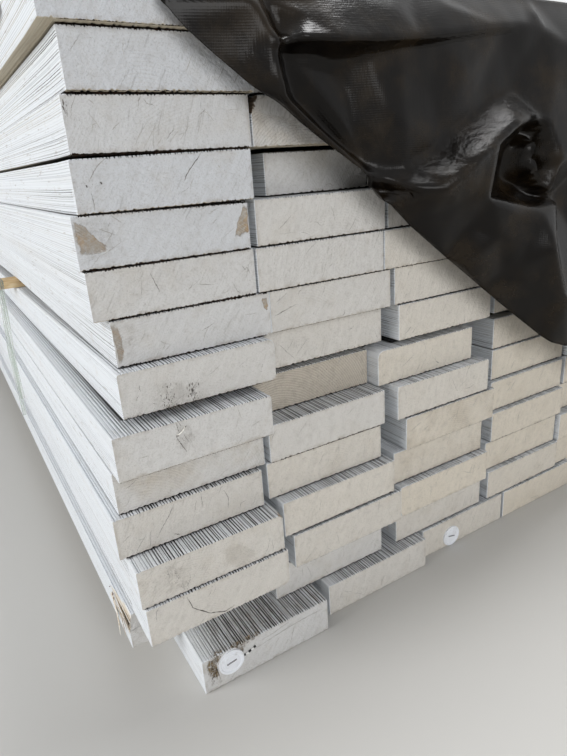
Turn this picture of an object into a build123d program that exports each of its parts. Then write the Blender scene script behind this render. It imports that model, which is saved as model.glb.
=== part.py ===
"""Stack of painted framing lumber in two packs under a cover sheet.

Millimetres. X runs across the board ends, Y along the boards away from the
front ends, +Z is up. Boards of one row share a node as separate solids.
"""
import os

from build123d import *

# boards
BOARD_W = 137.0
BOARD_T = 38.0
BOARD_L = 2438.0
EASED = 1.5
COLUMNS = 8
LOWER_ROWS = 8

# bottom row first: left face of the first board, the gaps after boards 1 to 3,
# how far back the front ends of boards 1 to 4 stand
ROWS = [
    (25, (12, 6, 4), (-30, -16, -5, -5)),
    (-21, (4, 21, 13), (22, -2, -2, -3)),
    (-14, (15, 2, 13), (-28, -14, -11, 3)),
    (-16, (9, 8, 22), (-26, -12, -2, 1)),
    (-22, (8, 30, 9), (-4, 1, -5, 7)),
    (-15, (5, 15, 25), (1, -1, -4, 12)),
    (-14, (3, 1, 42), (-19, 25, 9, 14)),
    (1, (4, 13, 15), (-4, 21, 9, 16)),
    (6, (1, 6, 9), (7, 9, 10, 14)),
    (-6, (2, 1, 6), (6, 6, 6, 10)),
    (-9, (7, 5, 5), (4, 6, 8, 9)),
    (-4, (26, 4, 3), (1, 28, 15, 12)),
    (-2, (2, 5, 4), (2, 3, 10, 6)),
    (2, (3, 6, 5), (-2, 6, 4, 8)),
    (-9, (6, 4, 7), (-9, 4, 8, 2)),
]
# boards out of sight: their usual gap and front end, and how far these and the length vary
HIDDEN_GAP = 5.0
GAP_SPREAD = 3.0
HIDDEN_FRONT = 5.0
FRONT_SPREAD = 7.0
LENGTH_SPREAD = 3.0

# rows and columns are counted from 0 here; one board is sawn thinner than the rest
THIN_BOARD = (11, 1)
THIN_T = 35.5
# worn corners: radii at the lower left, lower right, upper right and upper left
WORN = {
    (7, 0): (0, 4.0, 6.0, 2.5),
    (6, 2): (0, 0, 0, 7.0),
    (2, 0): (0, 6.0, 0, 0),
    (2, 2): (6.0, 0, 0, 0),
    (3, 0): (0, 0, 3.0, 0),
    (6, 0): (0, 2.5, 3.0, 0),
}
# corners broken off the front end: row, column, right side or left, size across, down and along
CHIPS = [
    (12, 1, False, 8.0, 15.0, 34.0),
    (3, 0, True, 6.0, 5.0, 14.0),
    (1, 0, False, 4.5, 22.0, 56.0),
]
# a sliver torn from a left side near its front end: row and column, where its root lies behind
# the front and above the underside, and how far the tip hangs out, down and towards the front
SLIVER_BOARD = (1, 0)
SLIVER_ROOT = (60.0, 20.0)
SLIVER_TIP = (6.5, 13.0, 44.0)
SLIVER_H = 9.0
SLIVER_DEPTH = 3.0

# laths between the packs, and how far the board ends bend to close that gap
LATH_T = 12.0
LATH_W = 38.0
LATH_OVER = 22.0
LATH_SHORT = 12.0
LATH_INSET = 560.0
LATH_Y = (LATH_INSET, BOARD_L / 2, BOARD_L - LATH_INSET)
RISE = 5.0
SAG = LATH_T - RISE
LEVEL_END = 40.0
BEND_CLEAR = 5.0
BEND_END = LATH_INSET - LATH_W / 2 - BEND_CLEAR

# cover sheet: its edges are places along a side and how far below the top they hang
SHEET_T = 1.0
SHEET_FRONT_Y = -13.0
SHEET_SLACK = 3.0
FRONT_EDGE = [(66, 7), (81, 45), (129, 80), (189, 119), (234, 146), (257, 170),
              (284, 194), (331, 229), (383, 266), (435, 302), (489, 340), (546, 366)]
LEFT_EDGE = [(105, 16), (400, 37), (800, 112)]
SHEET_DROP = 392.0

# cut strap that hangs over the first lath's end
STRAP_W = 6.5
STRAP_T = 0.6
STRAP_CLEAR = 0.6
STRAP_ENDS = (128.0, 86.0)

# plastic caps that held the sheet to the end of the bottom row, with their staples
CAP_D = 25.4
CAP_T = 1.0
RIM_W = 1.6
RIM_H = 0.8
HUB_D = 15.0
HUB_H = 0.5
# the bottom boards that carry one, the centres from their left sides and undersides, and how the
# staples are turned
CAP_COLUMNS = (0, 2)
CAP_CENTRES = [(28.0, 23.0), (46.0, 13.0)]
CAP_TURNS = (9.0, -14.0)
STAPLE_W = 10.0
STAPLE_WIRE = 1.2
STAPLE_LEG = 9.0


def wobble(row, col, span):
    """A repeatable unevenness for boards out of sight, between -span and span."""
    return ((row * 37 + col * 61 + row * col * 7) % 17 - 8) / 8 * span


def row_layout(row):
    """Left face, front end and length of every board in a row."""
    left, gaps, fronts = ROWS[row]
    boards = []
    x = left
    for col in range(COLUMNS):
        front = fronts[col] if col < len(fronts) else HIDDEN_FRONT + wobble(row, col, FRONT_SPREAD)
        length = BOARD_L + wobble(row + 3, col, LENGTH_SPREAD)
        boards.append((x, front, length))
        gap = gaps[col] if col < len(gaps) else HIDDEN_GAP + wobble(col, row, GAP_SPREAD)
        x += BOARD_W + gap
    return boards


def row_floor(row):
    """Height of a row's underside where it lies straight."""
    return row * BOARD_T + (LATH_T if row >= LOWER_ROWS else 0)


def end_shift(row):
    """How much a row's ends stand above their straight line."""
    if row >= LOWER_ROWS:
        return -SAG
    return RISE if row == LOWER_ROWS - 1 else 0


def bent_path(start, end, shift):
    """Heights along the length: level ends, a straight slope, a straight middle."""
    if not shift:
        return [(start, 0), (end, 0)]
    return [(start, shift), (LEVEL_END, shift), (BEND_END, 0),
            (BOARD_L - BEND_END, 0), (BOARD_L - LEVEL_END, shift), (end, shift)]


def run_along(section, start, end, shift):
    """Carries an upright section along the bent path, keeping it upright."""
    path = bent_path(start, end, shift)
    pieces = []
    for (y0, z0), (y1, z1) in zip(path, path[1:]):
        face = section.moved(Location((0, y0, z0)))
        pieces.append(Solid.extrude(face, Vector(0, y1 - y0, z1 - z0)))
    body = pieces[0].fuse(*pieces[1:]).clean() if len(pieces) > 1 else pieces[0]
    return body.solids()[0] if hasattr(body, "solids") else body


def upright_face(x0, z0, x1, z1, cuts=(0, 0, 0, 0)):
    """A face standing in the X-Z plane. cuts takes off its corners, anticlockwise from the
    lower left: straight up to EASED, and rounded where worn."""
    corners = [Vector(x0, 0, z0), Vector(x1, 0, z0), Vector(x1, 0, z1), Vector(x0, 0, z1)]
    edges, last = [], None
    for i, cut in enumerate(cuts):
        before = (corners[i] - corners[i - 1]).normalized()
        after = (corners[(i + 1) % 4] - corners[i]).normalized()
        start, end = corners[i] - before * cut, corners[i] + after * cut
        if last:
            edges.append(Edge.make_line(last, start))
        if cut > EASED:
            edges.append(Edge.make_tangent_arc(start, before, end))
        elif cut:
            edges.append(Edge.make_line(start, end))
        last = end
    first = corners[0] - (corners[0] - corners[3]).normalized() * cuts[0]
    edges.append(Edge.make_line(last, first))
    return Face(Wire(edges))


def pyramid(a, b, c, tip):
    """A solid from the triangle a, b, c to the tip."""
    return Solid.make_loft([Wire.make_polygon([a, b, c], close=True), Vertex(*tip)], True)


def break_corner(board, x, y, z, inward, across, down, along):
    """The board without the upper corner at x, y, z, split off at a slant."""
    corner = Vector(x, y, z)
    return board - pyramid(corner, corner + Vector(inward * across, 0, 0),
                           corner - Vector(0, 0, down), corner + Vector(0, along, 0))


def tear_sliver(board, x, y, z):
    """The board with a sliver that stands off its left side at x, rooted in the wood."""
    behind, above = SLIVER_ROOT
    out, fall, ahead = SLIVER_TIP
    root = Vector(x + SLIVER_DEPTH, y + behind, z + above)
    top = root + Vector(0, 0, SLIVER_H)
    inner = root + Vector(0, -2 * SLIVER_DEPTH, SLIVER_H / 2)
    tip = Vector(x - out, y + behind - ahead, z + above + SLIVER_H / 2 - fall)
    return board + pyramid(root, top, inner, tip)


def make_row(row):
    """All boards of one row."""
    boards = []
    for col, (x, front, length) in enumerate(row_layout(row)):
        thick = THIN_T if (row, col) == THIN_BOARD else BOARD_T
        z = row_floor(row)
        cuts = [max(EASED, worn) for worn in WORN.get((row, col), (0, 0, 0, 0))]
        section = upright_face(x, z, x + BOARD_W, z + thick, cuts)
        board = run_along(section, front, front + length, end_shift(row))
        z += end_shift(row)
        for broken_row, broken_col, right, across, down, along in CHIPS:
            if (broken_row, broken_col) == (row, col):
                side, inward = (x + BOARD_W, -1) if right else (x, 1)
                board = break_corner(board, side, front, z + thick, inward, across, down, along)
        if (row, col) == SLIVER_BOARD:
            board = tear_sliver(board, x, front, z)
        boards.append(board)
    return boards


def row_right(row):
    return row_layout(row)[-1][0] + BOARD_W


def stack_back():
    return max(front + length for row in range(len(ROWS))
               for _, front, length in row_layout(row))


def make_laths():
    """Wooden strips that keep the two packs apart."""
    z = LOWER_ROWS * BOARD_T
    x0 = -LATH_OVER
    x1 = min(row_right(LOWER_ROWS - 1), row_right(LOWER_ROWS)) - LATH_SHORT
    return [Pos((x0 + x1) / 2, y, z + LATH_T / 2) * Box(x1 - x0, LATH_W, LATH_T) for y in LATH_Y]


def panel(points, way):
    """A flat panel of the sheet from its corners, way thick."""
    return Solid.extrude(Face(Wire.make_polygon([Vector(*p) for p in points], close=True)), Vector(*way))


def make_wrap():
    """Cover sheet over the upper pack: top, front, back and side drops as one skin."""
    top = row_floor(len(ROWS))
    upper = range(LOWER_ROWS, len(ROWS))
    left = min(row_layout(row)[0][0] for row in upper) - SHEET_SLACK
    right = max(row_right(row) for row in range(len(ROWS))) + SHEET_SLACK
    back = stack_back() + SHEET_SLACK
    t = SHEET_T
    front = SHEET_FRONT_Y
    skin = run_along(upright_face(left - t, top, right + t, top + t), front - t, back + t, -SAG)
    bare_x, bare_y = FRONT_EDGE[0][0], LEFT_EDGE[0][0]
    clear_x, clear_y = left - 2 * t, front - 2 * t
    bare = Polyline((clear_x, bare_y), (clear_x, clear_y), (bare_x, clear_y), close=True)
    skin -= extrude(make_face(Plane.XY.offset(top - SAG - t) * bare), SAG + 3 * t)

    end_top, low = top - SAG + t / 2, top - SHEET_DROP
    edge = [(x, top - drop) for x, drop in FRONT_EDGE[1:]]
    outline = [(bare_x, end_top)] + edge + [(right + t, low), (right + t, end_top)]
    skin += panel([(x, front - t, z) for x, z in outline], (0, t, 0))

    ridge = [(BOARD_L - LEVEL_END, end_top), (BOARD_L - BEND_END, top + t / 2), (BEND_END, top + t / 2)]
    left_edge = [(y, top - drop) for y, drop in LEFT_EDGE]
    left_low = left_edge[-1][1]
    outline = [(bare_y, end_top)] + left_edge + [(back + t, left_low), (back + t, end_top)] + ridge
    skin += panel([(left - t, y, z) for y, z in outline], (t, 0, 0))
    outline = [(front - t, end_top), (front - t, low), (back + t, low), (back + t, end_top)] + ridge
    skin += panel([(right, y, z) for y, z in outline + [(LEVEL_END, end_top)]], (t, 0, 0))

    outline = [(left - t, end_top), (left - t, left_low), (right + t, low), (right + t, end_top)]
    skin += panel([(x, back, z) for x, z in outline], (0, t, 0))
    return skin.clean()


def make_strap():
    """The cut strap: over the lath's end and down both its faces, leaning out round the boards below."""
    lefts = [ROWS[row][0] for row in range(LOWER_ROWS)]
    widest = lefts.index(min(lefts))
    top = LOWER_ROWS * BOARD_T + LATH_T
    out = STRAP_CLEAR + STRAP_W / 2
    x_top, x_low = lefts[-2] - out, lefts[widest] - out
    z_bulge = row_floor(widest) + BOARD_T
    y_faces = (LATH_Y[0] - LATH_W / 2 - STRAP_T, LATH_Y[0] + LATH_W / 2)
    half = STRAP_W / 2
    strap = Pos(x_top, LATH_Y[0], top) * Box(STRAP_W, LATH_W + 2 * STRAP_T, STRAP_T,
                                             align=(Align.CENTER, Align.CENTER, Align.MIN))
    for y, end in zip(y_faces, STRAP_ENDS):
        middle = [(x_top, top + STRAP_T), (x_low, z_bulge), (x_low, end)]
        outline = [(x - half, y, z) for x, z in middle] + [(x + half, y, z) for x, z in reversed(middle)]
        strap += panel(outline, (0, STRAP_T, 0))
    return strap


def make_caps():
    """Caps and staples standing on the board ends, as placed solids."""
    caps, staples = [], []
    for col, (beside, above), turn in zip(CAP_COLUMNS, CAP_CENTRES, CAP_TURNS):
        x, face_y, _ = row_layout(0)[col]
        place = Pos(x + beside, face_y, above) * Rot(90, 0, 0) * Rot(0, 0, turn)
        rim, hub = CAP_D / 2, HUB_D / 2
        seat = CAP_T + HUB_H
        rim_top, rim_foot = rim - RIM_W, rim - RIM_W - RIM_H
        half = Polyline((0, 0), (rim, 0), (rim, CAP_T + RIM_H), (rim_top, CAP_T + RIM_H),
                        (rim_foot, CAP_T), (hub + HUB_H, CAP_T), (hub, seat), (0, seat), close=True)
        cap = revolve(make_face(Plane.XZ * half), Axis.Z)
        staple = Pos(0, 0, seat) * Box(STAPLE_W, STAPLE_WIRE, STAPLE_WIRE / 2,
                                       align=(Align.CENTER, Align.CENTER, Align.MIN))
        for side in (-1, 1):
            leg_x = side * (STAPLE_W - STAPLE_WIRE) / 2
            staple += Pos(leg_x, 0, seat) * Box(STAPLE_WIRE, STAPLE_WIRE, STAPLE_LEG + seat,
                                                align=(Align.CENTER, Align.CENTER, Align.MAX))
        caps.append(place * (cap - staple))
        staples.append(place * staple)
    return caps, staples


def save(shapes, name, shift):
    solids = [s for shape in shapes for s in shape.solids()]
    placed = [s.moved(shift) for s in solids]
    group = Compound(children=placed) if len(placed) > 1 else placed[0]
    export_step(group, f"parts/{name}.step")


os.makedirs("parts", exist_ok=True)

caps, staples = make_caps()
nodes = {}
for row in range(len(ROWS)):
    boards = make_row(row)
    if row == 0:
        for col, staple in zip(CAP_COLUMNS, staples):
            boards[col] = boards[col] - staple
    nodes[f"layer_{row + 1:02d}"] = boards
nodes["laths"] = make_laths()
nodes["wrap"] = [make_wrap()]
nodes["strap"] = [make_strap()]
nodes["cap_washers"] = caps
nodes["staples"] = staples

everything = [s.bounding_box() for shapes in nodes.values() for s in shapes]
low_x, high_x = min(b.min.X for b in everything), max(b.max.X for b in everything)
low_y, high_y = min(b.min.Y for b in everything), max(b.max.Y for b in everything)
shift = Location((-(low_x + high_x) / 2, -(low_y + high_y) / 2, 0))
for name, shapes in nodes.items():
    save(shapes, name, shift)
print("size", high_x - low_x, high_y - low_y, max(b.max.Z for b in everything))
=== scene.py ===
import math

import bmesh
import bpy
import numpy as np
from mathutils import Matrix, Vector
from mathutils.geometry import delaunay_2d_cdt


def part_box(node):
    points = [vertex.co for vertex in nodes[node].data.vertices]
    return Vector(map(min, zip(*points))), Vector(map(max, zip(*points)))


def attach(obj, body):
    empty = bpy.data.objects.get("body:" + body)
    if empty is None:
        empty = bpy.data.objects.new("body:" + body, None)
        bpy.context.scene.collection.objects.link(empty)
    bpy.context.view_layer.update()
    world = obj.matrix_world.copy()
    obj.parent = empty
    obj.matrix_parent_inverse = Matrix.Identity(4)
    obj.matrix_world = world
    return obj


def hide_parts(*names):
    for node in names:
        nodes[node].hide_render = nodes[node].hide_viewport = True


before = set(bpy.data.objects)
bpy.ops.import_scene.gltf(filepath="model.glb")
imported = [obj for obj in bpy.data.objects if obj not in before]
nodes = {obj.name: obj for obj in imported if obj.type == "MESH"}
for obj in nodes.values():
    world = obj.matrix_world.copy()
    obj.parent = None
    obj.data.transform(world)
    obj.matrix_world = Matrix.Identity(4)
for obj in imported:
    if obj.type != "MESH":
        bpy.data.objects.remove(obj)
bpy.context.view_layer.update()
mm = 0.001


# shader maths

class Wire:
    # a socket with the usual operators, each of which adds one Math node
    def __init__(self, tree, socket):
        self.tree, self.socket = tree, socket

    def sum(self, operation, *others, clamp=False):
        node = self.tree.nodes.new("ShaderNodeMath")
        node.operation, node.use_clamp = operation, clamp
        for slot, value in zip(node.inputs, (self,) + others):
            plug(self.tree, slot, value)
        return Wire(self.tree, node.outputs[0])

    def __add__(self, other): return self.sum("ADD", other)
    def __radd__(self, other): return self.sum("ADD", other)
    def __mul__(self, other): return self.sum("MULTIPLY", other)
    def __sub__(self, other): return self.sum("SUBTRACT", other)
    def __rsub__(self, other): return (self * -1).sum("ADD", other)
    def __pow__(self, other): return self.sum("POWER", other)
    def __abs__(self): return self.sum("ABSOLUTE")
    def atMost(self, other): return self.sum("MINIMUM", other)
    def atLeast(self, other): return self.sum("MAXIMUM", other)
    def sine(self): return self.sum("SINE")
    def clamped(self): return self.sum("ADD", 0.0, clamp=True)

    def between(self, low, high):
        # 0 at low, 1 at high, eased in between; low may be the larger
        node = self.tree.nodes.new("ShaderNodeMapRange")
        node.interpolation_type = "SMOOTHSTEP"
        flip = low > high
        for name, value in (("Value", self), ("From Min", min(low, high)), ("From Max", max(low, high)),
                            ("To Min", 1.0 if flip else 0.0), ("To Max", 0.0 if flip else 1.0)):
            plug(self.tree, node.inputs[name], value)
        return Wire(self.tree, node.outputs["Result"])


def plug(tree, slot, value):
    if isinstance(value, Wire):
        tree.links.new(value.socket, slot)
    else:
        slot.default_value = value


class Finish:
    # a material and the methods that add nodes to it
    def __init__(self, name, roughness=0.7, metallic=0.0, specular=0.4):
        self.material = bpy.data.materials.new(name)
        self.material.use_nodes = True
        self.tree = self.material.node_tree
        self.tree.nodes.clear()
        self.bsdf = self.tree.nodes.new("ShaderNodeBsdfPrincipled")
        out = self.tree.nodes.new("ShaderNodeOutputMaterial")
        self.tree.links.new(self.bsdf.outputs[0], out.inputs[0])
        self.bsdf.inputs["Roughness"].default_value = roughness
        self.bsdf.inputs["Metallic"].default_value = metallic
        self.bsdf.inputs["Specular IOR Level"].default_value = specular

    def add(self, kind, settings=(), inputs=(), out=0):
        node = self.tree.nodes.new("ShaderNode" + kind)
        for name, value in dict(settings).items():
            setattr(node, name, value)
        for name, value in dict(inputs).items():
            plug(self.tree, node.inputs[name], value)
        return Wire(self.tree, node.outputs[out])

    def attribute(self, name, out="Fac"):
        return self.add("Attribute", {"attribute_name": name}, out=out)

    def place(self):
        return self.add("TexCoord", out="Object")

    def split(self, vector):
        node = self.tree.nodes.new("ShaderNodeSeparateXYZ")
        plug(self.tree, node.inputs[0], vector)
        return [Wire(self.tree, s) for s in node.outputs]

    def join(self, x, y, z):
        return self.add("CombineXYZ", inputs={0: x, 1: y, 2: z})

    def noise(self, vector, scale=1.0, detail=2.0, rough=0.5, warp=0.0):
        return self.add("TexNoise", inputs={"Vector": vector, "Scale": scale, "Detail": detail,
                                            "Roughness": rough, "Distortion": warp})

    def stretched(self, place, scales, detail=2.0, rough=0.5):
        # noise with a scale of its own along each axis
        return self.noise(self.join(*(p * s for p, s in zip(place, scales))), 1.0, detail, rough)

    def mix(self, share, first, second):
        node = self.tree.nodes.new("ShaderNodeMix")
        node.data_type = "RGBA"
        for index, value in ((0, share), (6, first), (7, second)):
            plug(self.tree, node.inputs[index], value if isinstance(value, (Wire, float)) else colour(value))
        return Wire(self.tree, node.outputs[2])

    def coated(self, under, *coats):
        # colours laid one over another, each given with its share
        for share, tone in coats:
            under = self.mix(share, under, tone)
        return under

    def bump(self, height, distance, strength=1.0):
        return self.add("Bump", inputs={"Height": height, "Distance": distance, "Strength": strength})

    def feed(self, **inputs):
        for name, value in inputs.items():
            plug(self.tree, self.bsdf.inputs[name.replace("_", " ")], value)
        return self.material


def colour(levels):
    # 0-255 screen levels to the linear colour a socket takes
    c = np.array(levels, float) / 255
    linear = np.where(c <= 0.04045, c / 12.92, ((c + 0.055) / 1.055) ** 2.4)
    return (*linear, 1.0)


# meshes

def meshObject(name, points, faces, material, pointData=(), cornerData=(), smooth=False):
    # points (n, 3); faces is a list of index arrays, each (m, k) for m faces of k corners
    mesh = bpy.data.meshes.new(name)
    mesh.vertices.add(len(points))
    mesh.vertices.foreach_set("co", np.asarray(points, np.float32).ravel())
    corners = np.concatenate([f.ravel() for f in faces])
    counts = np.concatenate([np.full(len(f), f.shape[1]) for f in faces])
    mesh.loops.add(len(corners))
    mesh.loops.foreach_set("vertex_index", corners.astype(np.int32))
    mesh.polygons.add(len(counts))
    mesh.polygons.foreach_set("loop_start", np.concatenate([[0], np.cumsum(counts)[:-1]]).astype(np.int32))
    mesh.polygons.foreach_set("loop_total", counts.astype(np.int32))
    mesh.polygons.foreach_set("use_smooth", np.full(len(counts), smooth))
    mesh.update(calc_edges=True)
    for domain, table in (("POINT", pointData), ("CORNER", cornerData)):
        for key, values in dict(table).items():
            values = np.asarray(values, np.float32)
            kind, slot = ("FLOAT_VECTOR", "vector") if values.ndim == 2 else ("FLOAT", "value")
            mesh.attributes.new(key, kind, domain).data.foreach_set(slot, values.ravel())
    mesh.validate()
    mesh.materials.append(material)
    piece = bpy.data.objects.new(name, mesh)
    bpy.context.scene.collection.objects.link(piece)
    return piece


def gridFaces(rows, columns, closed=False, turned=False):
    # the faces between a grid's points, which lie row after row; closed joins the last column to the first
    i, j = np.meshgrid(np.arange(rows - 1), np.arange(columns if closed else columns - 1), indexing="ij")
    k = (j + 1) % columns
    corners = [i * columns + j, i * columns + k, (i + 1) * columns + k, (i + 1) * columns + j]
    return np.stack(corners[:1] + corners[:0:-1] if turned else corners, -1).reshape(-1, 4)


def reworked(piece, work):
    # runs work on the piece's mesh and returns what it finds
    bm = bmesh.new()
    bm.from_mesh(piece.data)
    found = work(bm)
    bm.to_mesh(piece.data)
    bm.free()
    return found


def faceOutwards(bm):
    bmesh.ops.recalc_face_normals(bm, faces=bm.faces)


def pointsOf(mesh):
    co = np.zeros(len(mesh.vertices) * 3, np.float32)
    mesh.vertices.foreach_get("co", co)
    return co.reshape(-1, 3).astype(float)


def atPlane(x, y, z):
    # points with the given x and z, all at one y
    return np.column_stack([np.ravel(x), np.full(np.size(x), y), np.ravel(z)])


class Pile:
    # small meshes gathered into one: their points, faces and values for each point
    def __init__(self):
        self.points, self.faces, self.values, self.count = [], [], {}, 0

    def put(self, points, faces, **values):
        self.points.append(points)
        self.faces.append(faces + self.count)
        for key, value in values.items():
            self.values.setdefault(key, []).append(np.broadcast_to(value, len(points)))
        self.count += len(points)

    def piece(self, name, material):
        return meshObject(name, np.concatenate(self.points), [np.concatenate(self.faces)], material,
                          {key: np.concatenate(found) for key, found in self.values.items()})


# boards

rowCount = 15
board = {
    "size": (137 * mm, 38 * mm),
    # the grooves' spacing, the share of the face that they take up and how deep they are, as a multiple of
    # grooveDepth, for the underside, the right side, the top and the left side
    "faces": ((6 * mm, 0.72, 1.4), (1.8 * mm, 0.5, 0.3), (2.6 * mm, 0.72, 1.4), (1.8 * mm, 0.5, 0.3)),
    "grooveDepth": 0.6 * mm,
    # contact: how far under another board the painted contact shade takes to reach full strength
    "corner": 1.3 * mm, "cornerSteps": 3, "endEase": 0.5 * mm, "gap": (0.4, 1.1), "contact": 2.0 * mm,
    # how far behind the front the eighth row, which bends up, comes down on the seventh
    "lifted": 14 * mm,
    "usualDirt": 0.3, "breakSteps": 9, "breakRagged": 0.35, "tornFrom": 0.02,
}
# chance in the grooves: how far one strays from its even place, its depth and width, the depth at its
# bottom's far side; then the most of the space beside it that it may take, and how wide its bottom is
cuts = {"stray": 0.28, "depth": (0.3, 1.2), "width": (0.5, 1.15), "farSide": (0.6, 1.1), "most": 0.46,
        "bottom": 0.3}
# how warm the paint of an end is: more in each lower row and each column to the right, less in the lowest
# rows, and a part by chance
warmth = {"least": 0.02, "row": 0.045, "column": 0.2, "lowest": 0.35, "lowestRows": 2, "chance": 0.12}
# rows and columns are counted from the bottom left, and lengths in these tables are mm
# corners rounder than the rest: radii at the lower left, lower right, upper right and upper left
wornCorners = {
    (8, 1): (1, 4, 6, 2.5), (7, 3): (1, 1, 1, 7), (3, 1): (1, 6, 1, 1), (3, 3): (6, 1, 1, 1),
    (4, 1): (1, 1, 3, 1), (12, 1): (1, 2, 1, 1), (5, 2): (1, 1, 2, 1), (7, 1): (1, 2.5, 3, 1),
    (6, 3): (1, 1, 3, 1), (5, 3): (1, 1, 1, 3), (7, 2): (1, 1, 2, 1),
}
# gaps over a board at its left and right side, where they aren't the usual ones
wideGaps = {
    (12, 1): (2.5, 0.6), (11, 1): (0.4, 1.9), (7, 1): (0.5, 1.5), (8, 2): (0.5, 1.4), (14, 1): (0.9, 0.5),
    (9, 3): (0.4, 1.5), (6, 2): (0.8, 0.4), (13, 1): (1.3, 0.7), (3, 1): (0.3, 0.3),
}
# upper corners broken off the front end: right side or left, size across, down and along
breaks = {(13, 2): (False, 8, 15, 34), (4, 1): (True, 6, 5, 14), (2, 1): (False, 4.5, 22, 56)}
# how dirty a board's top is, where it differs from the rest
dirtyTops = {(1, 1): 0.9, (1, 2): 0.7, (4, 1): 0.55, (5, 1): 0.5, (4, 2): 0.6, (6, 2): 0.6, (7, 1): 0.3,
             (8, 1): 0.2, (5, 3): 0.5, (3, 1): 0.6, (6, 3): 0.5, (7, 3): 0.5, (13, 2): 0.95, (2, 1): 0.15}
# how much of an end is bare wood
rawEnds = {(7, 2): 0.6, (6, 1): 0.3, (4, 3): 0.3, (2, 2): 0.22, (2, 3): 0.25, (3, 4): 0.2, (4, 1): 0.2,
           (3, 1): 0.1, (2, 1): 0.2, (13, 2): 0.35, (10, 3): 0.1, (5, 2): 0.1, (5, 3): 0.3, (14, 2): 0.3}
# how many columns of a row show more than their ends; boards that don't are left without grooves
openColumns = {8: 5, 9: 4, 10: 4, 11: 4, 12: 3, 13: 3, 14: 2, 15: 1}
frontOf = {}


def boardsOf(node):
    # the boards of a row: x range at the sound back end, stations along y where the whole section
    # is there, and the underside's height at each
    near, least, worn = 0.2 * mm, 0.3 * mm, 1 * mm
    mesh = nodes[node].data
    co = pointsOf(mesh)
    mesh.calc_loop_triangles()
    tri = np.zeros(len(mesh.loop_triangles) * 3, np.int32)
    mesh.loop_triangles.foreach_get("vertices", tri)
    xs = co[tri.reshape(-1, 3), 0]
    low, high = xs.min(1), xs.max(1)
    order = np.argsort(low)
    reach = np.maximum.accumulate(high[order])
    starts = np.flatnonzero(np.concatenate([[True], low[order][1:] > reach[:-1] + least]))
    lefts = low[order][starts]
    rights = reach[np.append(starts[1:] - 1, len(reach) - 1)]
    found = []
    for x0, x1 in zip(lefts, rights):
        inside = co[(co[:, 0] > x0 - near) & (co[:, 0] < x1 + near)]
        backEnd = inside[inside[:, 1] > inside[:, 1].max() - near, 0]
        ys = np.unique(np.round(inside[:, 1], 4))
        slices = [inside[np.abs(inside[:, 1] - y) < near, 2] for y in ys]
        floors, tops = np.array([c.min() for c in slices]), np.array([c.max() for c in slices])
        thick = (tops - floors).max()
        whole = tops - floors > thick - worn
        found.append({"x0": backEnd.min(), "x1": backEnd.max(), "ys": ys[whole], "floors": floors[whole],
                      "thick": float(thick)})
    return found


def everyRow():
    return {row: boardsOf(f"layer_{row:02d}") for row in range(1, rowCount + 1)}


def layersOf():
    # the boards of every row, each with the outlines (x0, x1, front) of those it lies against
    layers = everyRow()
    plan = {row: [(b["x0"], b["x1"], b["ys"][0]) for b in boards] for row, boards in layers.items()}
    lifted = {row: [(x0, x1, front + board["lifted"]) for x0, x1, front in plan[row]] for row in (7, 8)}
    for row, boards in layers.items():
        for col, b in enumerate(boards, 1):
            b["above"] = lifted[8] if row == 7 else plan.get(row + 1, [])
            b["below"] = lifted[7] if row == 8 else plan.get(row - 1, [])
            frontOf[row, col] = b["ys"][0]
    return layers


def covered(x, y, others):
    # how far a place is under (or on) one of the other boards: 0 outside, 1 from a little inside its edge; it
    # sets where the painted contact shade falls
    share = np.zeros(np.broadcast(x, y).shape)
    for x0, x1, front in others:
        inside = np.minimum(np.minimum(x - x0, x1 - x), y - front) / board["contact"]
        share = np.maximum(share, np.clip(inside, 0, 1))
    return share


def flatWithGrooves(length, rng, plain, pitch, share, deep):
    # places along a flat, the depth at each and 1 where it is cut: a level strip, then a V with a level
    # bottom, over and over
    if plain:
        return np.linspace(0, length, 3)[:-1], np.zeros(2), np.zeros(2)
    count = int(round(length / pitch))
    zero, one = np.zeros(count), np.ones(count)
    middle = (np.arange(count) + 0.5 + rng.uniform(-cuts["stray"], cuts["stray"], count)) * length / count
    depth = board["grooveDepth"] * rng.uniform(*cuts["depth"], count) * deep
    half = pitch * share / 2 * rng.uniform(*cuts["width"], count)
    space = np.minimum(np.diff(middle, prepend=-middle[0]), np.diff(middle, append=2 * length - middle[-1]))
    half = np.minimum(half, space * cuts["most"])
    bottom = half * cuts["bottom"]
    along = np.stack([middle - half, middle - bottom, middle + bottom, middle + half], 1).ravel()
    down = np.stack([zero, depth, depth * rng.uniform(*cuts["farSide"], count), zero], 1).ravel()
    return along, down, np.stack([zero, one, one, zero], 1).ravel()


def boardSection(width, thick, radii, rng, plain):
    # the section's outline, anticlockwise seen from the front ends, with inward normals; the corners'
    # radii go round from the lower left
    corners = ((0, 0), (width, 0), (width, thick), (0, thick))
    points, inward, marks = [], [], []
    for i in range(4):
        a, b = np.array(corners[i], float), np.array(corners[(i + 1) % 4], float)
        way = (b - a) / np.linalg.norm(b - a)
        normal = np.array([-way[1], way[0]])
        radius = radii[(i + 1) % 4]
        start, stop = a + way * radii[i], b - way * radius
        along, down, mark = flatWithGrooves(np.linalg.norm(stop - start), rng, plain, *board["faces"][i])
        points.append(start + along[:, None] * way + down[:, None] * normal)
        inward.append(np.tile(normal, (len(along), 1)))
        marks.append(mark)
        angle = np.linspace(0, math.pi / 2, board["cornerSteps"])
        spoke = -normal[None] * np.cos(angle)[:, None] + way[None] * np.sin(angle)[:, None]
        points.append(stop + normal * radius + radius * spoke)
        inward.append(-spoke)
        marks.append(0 * angle)
    return np.concatenate(points), np.concatenate(inward), np.concatenate(marks)


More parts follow.
